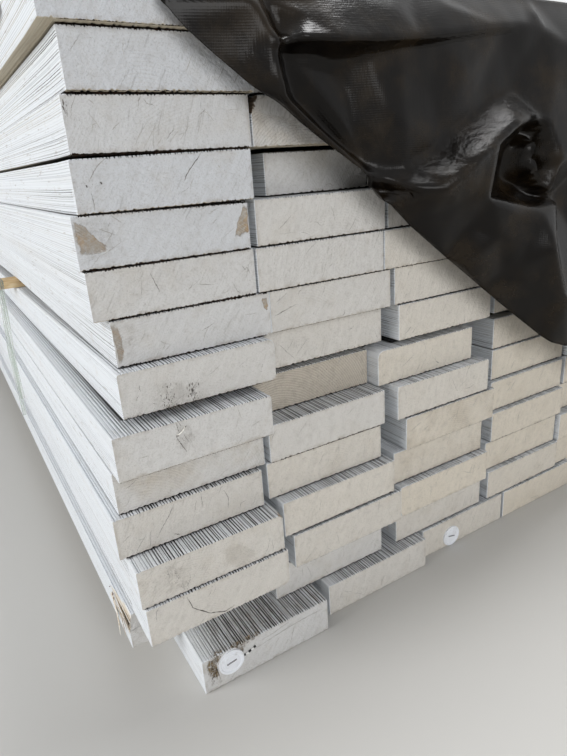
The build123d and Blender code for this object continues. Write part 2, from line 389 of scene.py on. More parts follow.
def breakOff(points, b, row, col, rng):
    # past the plane across the corner, a point is drawn back onto it along the section's diagonal,
    # a little more or less for each line along the grain; returns where that happened
    right, across, down, along = breaks[row, col]
    x = (b["x1"] - points[..., 0] if right else points[..., 0] - b["x0"]) / (across * mm)
    z = (b["thick"] - (points[..., 2] - b["floors"][0])) / (down * mm)
    y = (points[..., 1] - b["ys"][0]) / (along * mm)
    short = np.clip(1 - y - x - z, 0, 1)
    short *= (1 + rng.uniform(-board["breakRagged"], board["breakRagged"], points.shape[1]))
    points[..., 0] += (-1 if right else 1) * short * across * mm / 2
    points[..., 2] -= short * down * mm / 2
    return short > board["tornFrom"]


def boardMesh(b, row, col, plain):
    # the section carried along the stations, with both ends eased and closed by one face
    rng = np.random.default_rng(row * 40 + col)
    width = b["x1"] - b["x0"]
    radii = np.maximum(np.array(wornCorners.get((row, col), (1, 1, 1, 1))) * mm, board["corner"])
    outline, inward, mark = boardSection(width, b["thick"], radii, rng, plain)
    gap = wideGaps.get((row, col), rng.uniform(*board["gap"], 2))
    outline[:, 1] *= 1 - np.interp(outline[:, 0], [0, width], np.array(gap) * mm) / b["thick"]
    ease = board["endEase"]
    ys = np.concatenate([[b["ys"][0], b["ys"][0] + ease], b["ys"][1:-1], [b["ys"][-1] - ease, b["ys"][-1]]])
    edges = np.array([front for x0, x1, front in b["above"] + b["below"] if x1 > b["x0"] and x0 < b["x1"]])
    edges = np.unique(np.round(np.concatenate([edges, edges + board["contact"]]), 4))
    ys = np.sort(np.append(ys, edges[edges > b["ys"][0] + 2 * ease]))
    if (row, col) in breaks:
        steps = np.linspace(0.1, 1, board["breakSteps"])
        ys = np.sort(np.append(ys, b["ys"][0] + steps * breaks[row, col][3] * mm))
    floors = np.interp(ys, b["ys"], b["floors"])
    inset = np.zeros(len(ys))
    inset[[0, -1]] = ease
    n, m = len(ys), len(outline)
    section = outline[None] + inward[None] * inset[:, None, None]
    points = np.empty((n, m, 3))
    points[..., 0] = b["x0"] + section[..., 0]
    points[..., 1] = ys[:, None]
    points[..., 2] = floors[:, None] + section[..., 1]
    torn = breakOff(points, b, row, col, rng) if (row, col) in breaks else np.zeros((n, m), bool)
    sides = gridFaces(n, m, closed=True)
    front = np.arange(m)[None, ::-1]
    back = (n - 1) * m + np.arange(m)[None]
    points = points.reshape(-1, 3)
    local = np.empty_like(points)
    local[:, 0] = points[:, 0] - (b["x0"] + b["x1"]) / 2
    local[:, 1] = points[:, 1] - b["ys"][0]
    local[:, 2] = np.tile(outline[:, 1], n) - b["thick"] / 2
    groove = (np.tile(mark, n) * ~torn.ravel())[sides].ravel()
    warm = warmth["least"] + warmth["row"] * (rowCount - row) + warmth["column"] * (col - 1)
    warm += rng.uniform(-warmth["chance"], warmth["chance"])
    warm -= warmth["lowest"] if row <= warmth["lowestRows"] else 0
    perPoint = {"seed": rng.uniform(0, 1), "dirt": dirtyTops.get((row, col), board["usualDirt"]),
                "warm": min(max(warm, 0), 1), "raw": rawEnds.get((row, col), 0.0)}
    data = {key: np.full(len(points), value) for key, value in perPoint.items()}
    data["local"], data["torn"] = local, torn.ravel().astype(float)
    upper = np.tile(outline[:, 1] > b["thick"] / 2, n)
    data["cover"] = np.where(upper, covered(points[:, 0], points[:, 1], b["above"]),
                             covered(points[:, 0], points[:, 1], b["below"]))
    return points, sides, [front, back], groove, data


def layerPiece(row, boards, material):
    # every board of one row as one mesh
    points, quads, caps, groove, data = [], [], [], [], []
    base = 0
    for col, b in enumerate(boards, 1):
        p, q, ngons, g, d = boardMesh(b, row, col, col > openColumns.get(row, len(boards)))
        points.append(p)
        quads.append(q + base)
        caps += [c + base for c in ngons]
        groove.append(g)
        data.append(d)
        base += len(p)
    capCorners = sum(c.size for c in caps)
    groove = np.concatenate(groove + [np.zeros(capCorners)])
    ends = np.concatenate([np.zeros(len(groove) - capCorners), np.ones(capCorners)])
    piece = meshObject(f"boards_{row:02d}", np.concatenate(points), [np.concatenate(quads)] + caps, material,
                       {key: np.concatenate([d[key] for d in data]) for key in data[0]},
                       {"groove": groove, "endFace": ends})
    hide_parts(f"layer_{row:02d}")
    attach(piece, "root")
    return piece


paint = {
    "endCool": (208, 211, 216), "endWarm": (220, 212, 198), "endStain": (184, 172, 152),
    "endRidge": (158, 153, 147), "endGrit": (150, 145, 138), "scratch": (128, 122, 114),
    "ring": (160, 150, 136), "endRim": (142, 128, 108), "speck": (92, 80, 68),
    "rawEnd": (194, 184, 168), "grain": (126, 106, 82), "rawLumps": (128, 116, 100),
    "rawGrit": (116, 104, 90),
    "side": (227, 231, 235), "sideStreak": (205, 206, 208), "wideStreak": (206, 200, 190),
    "fleck": (160, 152, 144), "sideStain": (178, 160, 138), "sideGroove": (176, 180, 186),
    "top": (226, 229, 234), "topMud": (92, 79, 64), "cleanGroove": (136, 139, 144), "topGroove": (44, 41, 40),
    # contact: painted contact shade, dark where a face lies under or on another board
    # under and underStreak: painted shade for the faces turned down
    "topDirt": (24, 19, 15), "contact": (26, 22, 19), "under": (186, 176, 156),
    "underStreak": (132, 120, 100),
    "tornPale": (236, 232, 222), "tornDark": (196, 172, 140), "tornOld": (92, 76, 60),
}


def paintedBoard():
    # white paint over combed softwood: dirt lies in the grooves, the sawn ends show strokes of the
    # saw, rings and small checks, and bare wood where the paint is thin
    f = Finish("paintedBoard", roughness=0.75, specular=0.3)
    local, seed = f.attribute("local", "Vector"), f.attribute("seed")
    dirt, groove, endFace = f.attribute("dirt"), f.attribute("groove"), f.attribute("endFace")
    warm, raw, torn, cover = (f.attribute(name) for name in ("warm", "raw", "torn", "cover"))
    x, y, z = f.split(local)
    shift = seed * 37.0
    across = f.join(x + shift, y + shift, z)

    # ends: strokes run at a slant that differs from board to board
    blotch = f.noise(across, 22, 4, 0.65)
    lumps = f.noise(across, 150, 3, 0.6)
    slant = seed * 0.5 + 0.85
    cosine, sine = (slant + math.pi / 2).sine(), slant.sine()
    stroke = x * cosine + z * sine + shift, z * cosine - x * sine + blotch * 0.006, seed
    fine = f.stretched(stroke, (60, 700, 9), 2, 0.55)
    broad = f.stretched(stroke, (30, 210, 5), 3, 0.6)
    where = f.noise(across, 24, 1)
    scratch = fine.between(0.62, 0.72) * where.between(0.42, 0.62)
    ridge = broad.between(0.36, 0.64)
    pithX, pithZ = x - (seed - 0.5) * 0.16, z + 0.045 + seed * 0.05
    radius = (pithX * pithX + pithZ * pithZ) ** 0.5 + f.noise(across, 30, 2) * 0.005
    rings = (radius * 2600).sine().between(0.0, 0.95)
    grit = f.noise(across, 800, 2, 0.7)
    wide, thick = board["size"]
    margin = (wide / 2 - abs(x)).atMost(thick / 2 - abs(z))
    rimShare = margin.between(0.0045, 0.0) * f.noise(across, 110, 3).between(0.42, 0.68)
    speck = f.noise(across, 420, 2, 0.6).between(0.68, 0.74) * f.noise(across, 20, 2).between(0.5, 0.7)
    rawShow = (raw * 1.5 - f.noise(across, 34, 3, 0.6) * 0.8 + 0.12).between(0.05, 0.45)
    rawShow = rawShow * raw.between(0.0, 0.1)
    wood = f.coated(
        paint["rawEnd"],
        (rings * 0.42, paint["grain"]),
        (lumps.between(0.45, 0.65) * 0.3, paint["rawLumps"]),
        (grit.between(0.45, 0.7) * 0.35, paint["rawGrit"]))
    endColour = f.coated(
        paint["endCool"],
        (warm, paint["endWarm"]),
        (blotch.between(0.48, 0.75) * 0.22, paint["endStain"]),
        ((ridge * 0.09 + lumps.between(0.5, 0.72) * 0.16).clamped(), paint["endRidge"]),
        (grit.between(0.5, 0.72) * 0.3, paint["endGrit"]),
        (scratch * 0.2, paint["scratch"]),
        (rings * where.between(0.5, 0.72) * 0.1, paint["ring"]),
        (rimShare * 0.4, paint["endRim"]),
        ((rawShow * (raw * 0.5 + 0.42)).clamped(), wood),
        (speck * 0.45, paint["speck"]))

    # long faces: fibres run along y, and the tops' dirt lies behind the clean strip at their left edge
    fibres = x + shift, y, z
    streak = f.stretched(fibres, (420, 5, 420), 3, 0.6)
    wideStreak = f.stretched(fibres, (60, 2, 60), 2)
    fleck = f.stretched(fibres, (500, 40, 500), 2, 0.6)
    facing = f.split(f.add("NewGeometry", out="Normal"))[2]
    upward = facing.between(0.2, 0.8)
    cut = groove.between(0.15, 0.75)
    nearEnd = y.between(0.5, 0.0)
    load = upward * dirt * (1 - nearEnd * 0.3)
    inner = x.between(-0.066, -0.040)
    lineShare = f.stretched(fibres, (150, 2.5, 150), 2).between(0.35, 0.62)
    smear = f.stretched(fibres, (900, 14, 900), 3, 0.65)
    clods = f.stretched(fibres, (160, 45, 160), 4, 0.75).between(0.44, 0.6)
    grimeShare = smear.between(0.44, 0.58) * 0.15 + clods * dirt * 0.6
    topCut = (cut * upward * (streak.between(0.25, 0.45) * 0.4 + 0.6) * (inner * 0.85 + 0.15)).clamped()
    grooveShade = f.coated(
        paint["cleanGroove"],
        (dirt.between(0.1, 0.5), paint["topGroove"]),
        (dirt, paint["topDirt"]))
    # faces turned down are painted a darker streaky tan: painted shade of the undersides and the gaps between
    # rows
    paintedUndersideShade = f.mix(streak.between(0.4, 0.7) * 0.5, paint["under"], paint["underStreak"])
    tornWood = f.coated(
        paint["tornPale"],
        (streak.between(0.32, 0.62) * 0.75, paint["tornDark"]),
        (dirt, paint["tornOld"]))
    # painted contact shade: faces under or on another board are darkened, most near the front end
    paintedContactShade = cover * abs(facing).between(0.3, 0.7) * (y.between(0.25, 0.02) * 0.8 + 0.16)
    sideColour = f.coated(
        paint["side"],
        (streak.between(0.5, 0.8) * 0.22, paint["sideStreak"]),
        (wideStreak.between(0.5, 0.75) * 0.16, paint["wideStreak"]),
        (fleck.between(0.62, 0.72) * 0.5, paint["fleck"]),
        (f.noise(across, 60, 3, 0.7).between(0.6, 0.7) * 0.2, paint["sideStain"]),
        (upward * 0.6, paint["top"]),
        (cut * (lineShare * 0.55 + 0.12) * (1 - upward), paint["sideGroove"]),
        ((load * grimeShare * inner).clamped(), paint["topMud"]),
        (topCut, grooveShade),
        (facing.between(-0.3, -0.8), paintedUndersideShade),
        (torn, tornWood),
        (paintedContactShade, paint["contact"]))

    stucco = f.noise(across, 330, 2, 0.6)
    endHeight = ridge * 0.5 - scratch * 0.4 + rings * (raw * 0.5 + 0.1) + lumps * 1.4 + blotch + stucco * 1.6
    bumps = f.bump(endHeight * endFace + (streak * 0.6 + stucco * 0.8) * (1 - endFace), 0.55 * mm, 1.0)
    return f.feed(Base_Color=f.mix(endFace, sideColour, endColour), Normal=bumps)


boardFinish = paintedBoard()
for row, boards in layersOf().items():
    layerPiece(row, boards, boardFinish)
print("boards done")


# camera

# it stands low near the left front corner of the pack; its place is given from that corner in mm,
# the lens in pixels of the picture and the turns in degrees
view = {"fromCorner": (-91.9, -413.1, 440.7), "focal": 567.7, "picture": (567, 756), "sensor": 36.0,
        "nearest": 0.01, "yaw": 30.06, "pitch": 19.81, "roll": 4.09, "cornerOut": (25.0, -30.0)}


def packCorner():
    # where the first column's left side meets the line of the front ends, on the ground
    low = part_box("layer_01")[0]
    return np.array([low.x - view["cornerOut"][0] * mm, low.y - view["cornerOut"][1] * mm, 0.0])


def cameraAxes():
    # yaw turns from +Y towards +X, pitch looks down, roll turns the picture clockwise
    yaw, pitch, roll = (math.radians(view[k]) for k in ("yaw", "pitch", "roll"))
    ahead = np.array([math.sin(yaw) * math.cos(pitch), math.cos(yaw) * math.cos(pitch), -math.sin(pitch)])
    right = np.array([math.cos(yaw), -math.sin(yaw), 0.0])
    down = np.cross(ahead, right)
    c, s = math.cos(roll), math.sin(roll)
    return np.array([c * right + s * down, c * down - s * right, ahead])


def fromPicture(points, plane):
    # picture places (n, 2) to the points where their lines of sight meet y = plane (n,)
    eye = packCorner() + np.array(view["fromCorner"]) * mm
    wide, high = view["picture"]
    u, v = (points[:, 0] - wide / 2) / view["focal"], (points[:, 1] - high / 2) / view["focal"]
    rays = np.column_stack([u, v, np.ones(len(points))]) @ cameraAxes()
    return eye + rays * ((plane - eye[1]) / rays[:, 1])[:, None]


def photoCamera():
    right, down, ahead = cameraAxes()
    lens = bpy.data.cameras.new("camera")
    lens.sensor_width = view["sensor"]
    lens.lens = view["sensor"] * view["focal"] / max(view["picture"])
    lens.clip_start = view["nearest"]
    camera = bpy.data.objects.new("camera", lens)
    turned = Matrix((right, -down, -ahead)).transposed().to_4x4()
    place = packCorner() + np.array(view["fromCorner"]) * mm
    camera.matrix_world = Matrix.Translation(place) @ turned
    bpy.context.scene.collection.objects.link(camera)
    bpy.context.scene.camera = camera


# marks on the ends

# cracks and scratches read off the picture: row, column, width in mm, how dark, picture points
endCracks = [
    (13, 1, 0.5, 0.35, [(134, 146), (141, 132), (147, 122)]),
    (13, 1, 0.5, 0.3, [(145, 146), (151, 134), (157, 123)]), (13, 1, 0.45, 0.3, [(157, 145), (162, 138)]),
    (13, 1, 0.45, 0.3, [(170, 142), (174, 136), (179, 130)]), (13, 1, 0.45, 0.3, [(180, 140), (190, 124)]),
    (13, 1, 0.5, 0.45, [(112, 130), (119, 122)]), (13, 1, 0.5, 0.35, [(202, 109), (208, 114), (214, 121)]),
    (13, 1, 0.5, 0.3, [(227, 110), (241, 109)]), (13, 1, 0.5, 0.45, [(88, 99), (94, 104)]),
    (13, 1, 0.5, 0.25, [(100, 128), (88, 112)]),
    (12, 1, 0.6, 0.55, [(106, 158), (98, 165), (93, 173), (89, 182)]),
    (12, 1, 0.8, 0.8, [(201.6, 151), (197, 159), (190, 168.5), (185.6, 177), (184.4, 181)]),
    (12, 1, 1.5, 0.95, [(86, 186), (87.4, 187.4)]), (12, 1, 1.3, 0.9, [(100.4, 182.4), (101.6, 184)]),
    (12, 1, 0.4, 0.3, [(162, 173), (169, 173)]), (12, 1, 0.8, 0.3, [(218, 165), (220, 168)]),
    (11, 1, 0.5, 0.5, [(209, 214), (214, 210), (220, 207)]),
    (11, 1, 0.5, 0.4, [(199, 211), (205, 207), (211, 205)]),
    (11, 1, 0.6, 0.55, [(99, 229), (107, 232), (115, 235)]),
    (11, 1, 0.5, 0.45, [(110, 215), (116, 219), (122, 223)]),
    (10, 1, 0.7, 0.7, [(150, 273), (155, 283), (160, 292)]),
    (10, 1, 0.6, 0.6, [(242, 265), (245, 270), (247, 267), (250, 273)]),
    (7, 1, 0.9, 0.8, [(176.2, 436.4), (180, 442), (183.8, 447.4), (187.0, 452.0)]),
    (7, 1, 2.0, 0.9, [(176.4, 437.0), (179.5, 433.7)]), (7, 1, 1.3, 0.9, [(183.5, 429.0), (186.4, 425.6)]),
    (7, 1, 0.7, 0.8, [(176.2, 423), (177.4, 428), (179, 432)]),
    (7, 1, 0.5, 0.7, [(178, 421), (181, 426.5)]), (7, 1, 0.5, 0.6, [(184, 434), (186, 438), (189, 442)]),
    (7, 1, 0.5, 0.55, [(181.5, 437), (184, 441)]), (7, 1, 0.4, 0.4, [(190, 430), (189, 437), (192, 443)]),
    (7, 1, 0.8, 0.4, [(141, 458), (148, 455.8)]), (7, 1, 0.4, 0.4, [(175, 422), (179, 427)]),
    (6, 1, 0.5, 0.55, [(126, 489), (132, 484), (137.6, 478.7)]), (6, 1, 0.4, 0.4, [(244, 459), (250, 449)]),
    (6, 1, 0.4, 0.4, [(251, 459), (258, 450)]),
    (5, 1, 0.6, 0.55, [(200.7, 492.5), (202, 501.7), (202.4, 507.4)]),
    (5, 1, 0.7, 0.6, [(223.7, 490.2), (228.2, 497.1), (228.8, 507.4)]),
    (5, 1, 0.7, 0.65, [(173.7, 504), (169.7, 514.3), (163.4, 525.8), (157, 538.4)]),
    (5, 1, 0.6, 0.4, [(131.8, 533.8), (122.6, 543)]), (5, 1, 1.0, 0.9, [(174.3, 533.8), (180, 534.4)]),
    (3, 1, 1.1, 0.95, [(187, 597), (193, 608), (210, 613), (226, 611), (235, 605)]),
    (3, 1, 0.5, 0.45, [(207, 615), (201, 623), (193, 632)]), (3, 1, 0.5, 0.5, [(208, 597), (212, 590)]),
    (3, 1, 0.5, 0.45, [(213, 594), (216, 587)]), (4, 1, 0.5, 0.55, [(190, 573), (190, 580), (186, 588)]),
    (4, 1, 0.5, 0.5, [(167, 570), (170, 577)]), (4, 1, 0.5, 0.5, [(171, 569), (173, 577)]),
    (4, 1, 0.5, 0.5, [(175, 568), (177, 575)]), (4, 1, 0.4, 0.45, [(167, 579), (170, 583)]),
    (4, 1, 0.5, 0.5, [(182, 582), (185, 590)]), (4, 1, 0.4, 0.45, [(186, 580), (189, 588)]),
    (1, 1, 0.7, 0.6, [(255, 649), (273, 637), (292, 625), (308, 616), (322, 609)]),
    (1, 1, 0.6, 0.5, [(290, 621), (276, 631), (260, 641)]),
    (9, 2, 0.7, 0.7, [(274.4, 316.4), (284, 311), (296.4, 304)]),
    (8, 2, 0.5, 0.5, [(278.8, 344.3), (287, 352), (295, 359)]),
    (8, 2, 0.5, 0.5, [(295, 357), (301, 348), (307.4, 338.4)]), (8, 2, 0.4, 0.4, [(324, 360), (325, 348)]),
    (9, 3, 0.4, 0.35, [(422, 304), (423, 320)]),
    (7, 3, 0.8, 0.7, [(418, 385.3), (424, 388.3), (432.8, 387.5)]),
    (7, 3, 0.6, 0.6, [(457.8, 386.8), (465, 387), (472.4, 388.3)]),
    (8, 3, 1.2, 0.6, [(436, 361), (438.6, 363)]),
]
# clusters of small pits: row, column, how many, largest size in mm, picture corners
endPits = [
    (8, 1, 60, 1.1, (157, 384, 176, 408)), (8, 1, 56, 1.4, (187, 384, 200, 402)),
    (8, 1, 34, 1.2, (166, 402, 178, 411)), (4, 1, 40, 0.8, (163, 568, 182, 586)),
    (3, 1, 26, 0.7, (179, 584, 190, 598)), (7, 1, 18, 0.5, (178, 428, 192, 446)),
    (7, 2, 60, 0.8, (318, 368, 350, 390)), (12, 1, 16, 0.5, (92, 180, 108, 192)),
    (1, 1, 70, 1.2, (207, 652, 222, 681)), (1, 1, 26, 1.4, (232, 643, 246, 650)),
    (7, 3, 10, 0.9, (436, 393, 452, 397)), (13, 1, 14, 1.4, (62, 96, 68, 118)),
    (5, 2, 20, 0.5, (286, 505, 300, 520)), (10, 2, 20, 0.5, (300, 282, 330, 300)),
]
# places where the paint is off: row, column, picture outline and, where it is only thin, how thin
barePatches = [
    (11, 1, [(70, 219), (79, 223), (87, 228), (92, 234), (99, 241), (107, 245), (109, 251), (96, 254),
         (81, 256), (74, 236)], 0.3),
    (11, 1, [(243, 204), (247.5, 208), (248.5, 219), (249, 231), (242, 236), (235, 237), (236, 227),
         (240, 214)]),
    (9, 1, [(110, 323), (117, 326), (122, 337), (125, 352), (122, 364), (119, 365), (113, 340)], 0.45),
    (9, 1, [(262, 298), (267, 297), (268, 305), (267, 311), (263, 308)]),
    (4, 1, [(220, 550), (236, 542), (250, 546), (259, 553), (250, 562), (238, 569), (228, 566)], 1.0),
]
# grime on the ends, thick beside the cap, and weak brownish stains elsewhere
dirtPatches = [
    (1, 1, [(205, 668), (209, 657), (216, 650), (224, 646), (222, 655), (217, 664), (218, 675),
         (222, 683), (212, 686)]),
    (1, 1, [(228, 649), (231, 643), (238, 640), (247, 637), (246, 645), (243, 652), (235, 648)]),
    (1, 1, [(244, 637), (256, 631), (262, 632), (255, 639), (246, 645)]),
]
stains = [
    (11, 1, [(72, 215), (95, 212), (113, 224), (118, 240), (112, 262), (86, 266), (76, 240)]),
    (9, 1, [(112, 322), (132, 322), (138, 340), (130, 360), (121, 363)]),
    (8, 1, [(150, 384), (176, 378), (206, 380), (208, 402), (180, 414), (154, 412)]),
    (4, 1, [(155, 575), (175, 560), (192, 566), (192, 585), (165, 598)]),
    (7, 1, [(172, 425), (190, 420), (198, 436), (190, 456), (176, 446)]),
]


def onEnd(row, col, spots, proud):
    # picture places on a board's front end, as (x, z), and the plane just in front of it
    plane = frontOf[row, col] - proud
    return fromPicture(np.array(spots, float), np.full(len(spots), plane))[:, [0, 2]], plane


# short scratches scattered over every end that shows: how many on an end (the last number is never reached),
# lengths, widths, how dark, how many keep to the saw's slant and that slant with its spread, how much a
# scratch bends, how many columns, how far its middle and its points stay from the end's edges
scratches = {
    "count": (3, 12), "length": (4, 20), "width": (0.25, 0.6), "shade": (0.2, 0.7), "slanted": 0.7,
    "slant": (1.1, 0.35), "bend": 0.7 * mm, "columns": 5, "margin": 4 * mm, "edge": 2 * mm,
}


def scatteredScratches():
    # random strokes, most of them on the slant of the saw, as (row, col, width, shade, (x, z) points)
    rng = np.random.default_rng(76)
    margin, edge = scratches["margin"], scratches["edge"]
    for row, boards in everyRow().items():
        for col, b in enumerate(boards[:scratches["columns"]], 1):
            foot, head = b["floors"][0], b["floors"][0] + b["thick"]
            for _ in range(rng.integers(*scratches["count"])):
                x = rng.uniform(b["x0"] + margin, b["x1"] - margin)
                z = rng.uniform(foot + margin, head - margin)
                slanted = rng.uniform() < scratches["slanted"]
                turn = rng.normal(*scratches["slant"]) if slanted else rng.uniform(0, math.pi)
                t = np.array([-0.5, 0, 0.5]) * rng.uniform(*scratches["length"]) * mm
                line = np.column_stack([x + t * math.cos(turn), z + t * math.sin(turn)])
                line[1] += rng.normal(0, scratches["bend"], 2)
                line[:, 0] = np.clip(line[:, 0], b["x0"] + edge, b["x1"] - edge)
                line[:, 1] = np.clip(line[:, 1], foot + edge, head - edge)
                yield row, col, rng.uniform(*scratches["width"]), rng.uniform(*scratches["shade"]), line


cracks = {"proud": 0.08 * mm, "perPoint": 6, "stray": 0.16 * mm, "ragged": (0.35, 1.15), "shade": (0.7, 1.1)}


def crackPiece(material):
    # each crack is a ribbon: its points joined straight, width times sin(pi t) to the half, a little ragged
    rng = np.random.default_rng(77)
    pile = Pile()
    known = [(*crack[:4], onEnd(*crack[:2], crack[4], 0)[0]) for crack in endCracks]
    for row, col, width, shade, xz in known + list(scatteredScratches()):
        steps = cracks["perPoint"] * len(xz)
        t = np.linspace(0, 1, steps)
        knots = np.linspace(0, 1, len(xz))
        line = np.column_stack([np.interp(t, knots, xz[:, 0]), np.interp(t, knots, xz[:, 1])])
        line[1:-1] += rng.normal(0, cracks["stray"], (steps - 2, 2))
        way = np.gradient(line, axis=0)
        way /= np.linalg.norm(way, axis=1)[:, None]
        taper = np.sqrt(np.sin(math.pi * np.clip(t, 0.02, 0.98)))
        half = width * mm / 2 * taper * rng.uniform(*cracks["ragged"], steps)
        side = np.column_stack([-way[:, 1], way[:, 0]]) * half[:, None]
        x, z = np.concatenate([line + side, line - side]).T
        pile.put(atPlane(x, frontOf[row, col] - cracks["proud"], z), gridFaces(2, steps),
                 dark=np.tile(shade * rng.uniform(*cracks["shade"], steps), 2))
    return markPiece("endCracks", pile, material)


pits = {"proud": 0.07 * mm, "spread": 0.28, "size": (0.3, 1), "width": (0.45, 0.9), "taller": (0.2, 3.2),
        "shade": (0.45, 0.95)}


def pitPiece(material):
    # small uneven hexagons scattered about the middle of each cluster's rectangle
    rng = np.random.default_rng(78)
    pile = Pile()
    around = np.arange(6) * math.pi / 3
    for row, col, count, largest, (u0, v0, u1, v1) in endPits:
        u = (u0 + u1) / 2 + np.clip(rng.normal(0, pits["spread"], count), -0.5, 0.5) * (u1 - u0)
        v = (v0 + v1) / 2 + np.clip(rng.normal(0, pits["spread"], count), -0.5, 0.5) * (v1 - v0)
        xz, plane = onEnd(row, col, np.column_stack([u, v]), pits["proud"])
        size = largest * mm / 2 * rng.uniform(*pits["size"], (count, 1)) ** 1.5
        wide = rng.uniform(*pits["width"], (count, 6)) * size
        tall = 1 + rng.uniform(*pits["taller"], (count, 1))
        x = xz[:, :1] + wide * np.cos(around)
        z = xz[:, 1:] + wide * np.sin(around) * tall
        pile.put(atPlane(x, plane, z), np.arange(count * 6).reshape(-1, 6),
                 dark=np.repeat(rng.uniform(*pits["shade"], count), 6))
    return markPiece("endPits", pile, material)


patchRim = {"perPoint": 4, "stray": 0.3 * mm}


def patchPiece(name, patches, material, proud):
    # fans from the middle of each ragged outline; "dark" falls from 1 in the middle to 0 at the rim
    rng = np.random.default_rng(79)
    pile = Pile()
    for row, col, spots, *weak in patches:
        xz, plane = onEnd(row, col, spots, proud)
        n = patchRim["perPoint"] * len(xz)
        t = np.linspace(0, len(xz), n, endpoint=False)
        loop = np.concatenate([xz, xz[:1]])
        outline = np.column_stack([np.interp(t, np.arange(len(loop)), loop[:, k]) for k in (0, 1)])
        outline += rng.normal(0, patchRim["stray"], outline.shape)
        x, z = np.concatenate([outline, [outline.mean(0)]]).T
        i = np.arange(n)
        pile.put(atPlane(x, plane, z), np.column_stack([i, (i + 1) % n, np.full(n, n)]),
                 dark=np.append(np.zeros(n), 1.0), weak=weak[0] if weak else 0.0)
    return markPiece(name, pile, material)


def faceFront(bm):
    bm.normal_update()
    bmesh.ops.reverse_faces(bm, faces=[face for face in bm.faces if face.normal.y > 0])


def markPiece(name, pile, material):
    # the gathered marks as one piece
    piece = pile.piece(name, material)
    reworked(piece, faceFront)
    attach(piece, "root")
    return piece


def crackFinish():
    # from the paint's own grey to the dark brown of an open crack
    f = Finish("crack", roughness=0.9, specular=0.1)
    shade = (f.attribute("dark") * 1.1 + f.noise(f.place(), 300, 1) * 0.5 - 0.35).clamped()
    return f.feed(Base_Color=f.mix(shade, (196, 193, 188), (52, 42, 34)))


def bareEndFinish():
    # tan end grain in close slanting lines, rubbed with paint in places
    f = Finish("bareEnd", roughness=0.85, specular=0.2)
    where = f.place()
    x, y, z = f.split(where)
    wobble = f.noise(where, 70, 3) * 5.0
    lines = ((x * 0.8 + z) * 2900 + wobble).sine().between(-0.3, 0.9)
    lines = lines * f.noise(where, 90, 2).between(0.35, 0.6)
    counter = ((x * 0.6 - z) * 1700 + wobble).sine().between(0.1, 0.95)
    counter = counter * f.noise(where, 110, 2).between(0.4, 0.6)
    base = f.coated(
        (180, 172, 160),
        (f.noise(where, 75, 4, 0.65).between(0.42, 0.62), (186, 162, 132)),
        (f.noise(where, 180, 4, 0.7).between(0.48, 0.58) * 0.7, (196, 192, 184)),
        (f.noise(where, 520, 3, 0.6).between(0.45, 0.6) * 0.45, (152, 138, 122)),
        (lines * 0.45, (132, 112, 90)),
        (counter * 0.3, (206, 204, 198)))
    ragged = (f.attribute("dark") * 1.5 + f.noise(where, 170, 3, 0.6) - 0.4).between(0.05, 0.5)
    shown = (ragged * (0.88 - f.attribute("weak") * 0.76)).clamped()
    return f.feed(Base_Color=base, Alpha=shown, Normal=f.bump(lines, 0.2 * mm, 0.6))


def dirtFinish(name, strong):
    # brown grime, thinner towards the edge of its patch and broken up by the rough paint
    f = Finish(name, roughness=0.95, specular=0.1)
    where = f.place()
    patches = f.noise(where, 190, 4, 0.75).between(0.4, 0.54)
    streaks = f.stretched(f.split(where), (700, 1, 90), 2, 0.6).between(0.4, 0.6)
    shade = f.mix(f.noise(where, 300, 3).between(0.4, 0.6), (140, 124, 98), (88, 76, 60))
    inner = (f.attribute("dark") * 1.6 + f.noise(where, 90, 3, 0.6) - 0.45).between(0.05, 0.6)
    return f.feed(Base_Color=shade, Alpha=(patches * (streaks * 0.5 + 0.5) * inner * strong).clamped())


# ragged dark teeth of painted shade along the ends' edges where two boards meet: spacing, heights and
# how these change along a board, and the shares by column, in the lower pack, over an overhang and on
# single boards
rim = {
    "step": 0.65 * mm, "teeth": 1.7 * mm, "least": 0.25 * mm, "slow": (0.15, 1.0, 9), "proud": 0.04 * mm,
    "inset": 1.0 * mm, "near": 3 * mm, "columns": {1: 1.0, 2: 0.7, 3: 0.5, 4: 0.5}, "lowerPack": (8, 0.6),
    "overhang": 0.5, "faint": {(4, 1): 0.4, (3, 1): 0.25},
}


def rimPiece():
    # heights least + teeth * r^2 with r random, from the edge into the end, where the board above or
    # below reaches as far forward as this one, and lower ones where this one overhangs
    rng = np.random.default_rng(80)
    layers = everyRow()
    pile = Pile()
    knots = rim["slow"][2]
    for row, boards in layers.items():
        for col, b in enumerate(boards[:max(rim["columns"])], 1):
            foot, front = b["floors"][0], b["ys"][0]
            head = foot + b["thick"] - board["gap"][0] * mm
            x = np.arange(b["x0"] + rim["inset"], b["x1"] - rim["inset"], rim["step"])
            above, below = layers.get(row + 1, []), layers.get(row - 1, [])
            for edge, turn, others in ((head, -1, above), (foot, 1, below)):
                meets = np.zeros(len(x))
                for other in others:
                    flush = other["ys"][0] < front + rim["near"]
                    if flush or turn > 0:
                        share = 1.0 if flush else rim["overhang"]
                        meets = np.maximum(meets, share * ((x > other["x0"]) & (x < other["x1"])))
                slow = np.interp(x, np.linspace(x[0], x[-1], knots), rng.uniform(*rim["slow"]))
                high = rim["least"] + rim["teeth"] * rng.uniform(0, 1, len(x)) ** 2 * slow
                high *= meets * rim["columns"][col] * rim["faint"].get((row, col), 1.0)
                high *= rim["lowerPack"][1] if row <= rim["lowerPack"][0] else 1.0
                z = np.concatenate([np.full(len(x), edge), edge + turn * high])
                faces = gridFaces(2, len(x))[np.flatnonzero(meets[:-1] * meets[1:])]
                pile.put(atPlane(np.tile(x, 2), front - rim["proud"], z), faces, dark=1.0)
    # the teeth's near-black brown is painted shade of the gap between two boards
    f = Finish("rimPaintedShade", roughness=0.95, specular=0.05)
    shade = f.mix(f.noise(f.place(), 200, 3).between(0.45, 0.6), (17, 13, 11), (46, 34, 27))
    return markPiece("endRims", pile, f.feed(Base_Color=shade))


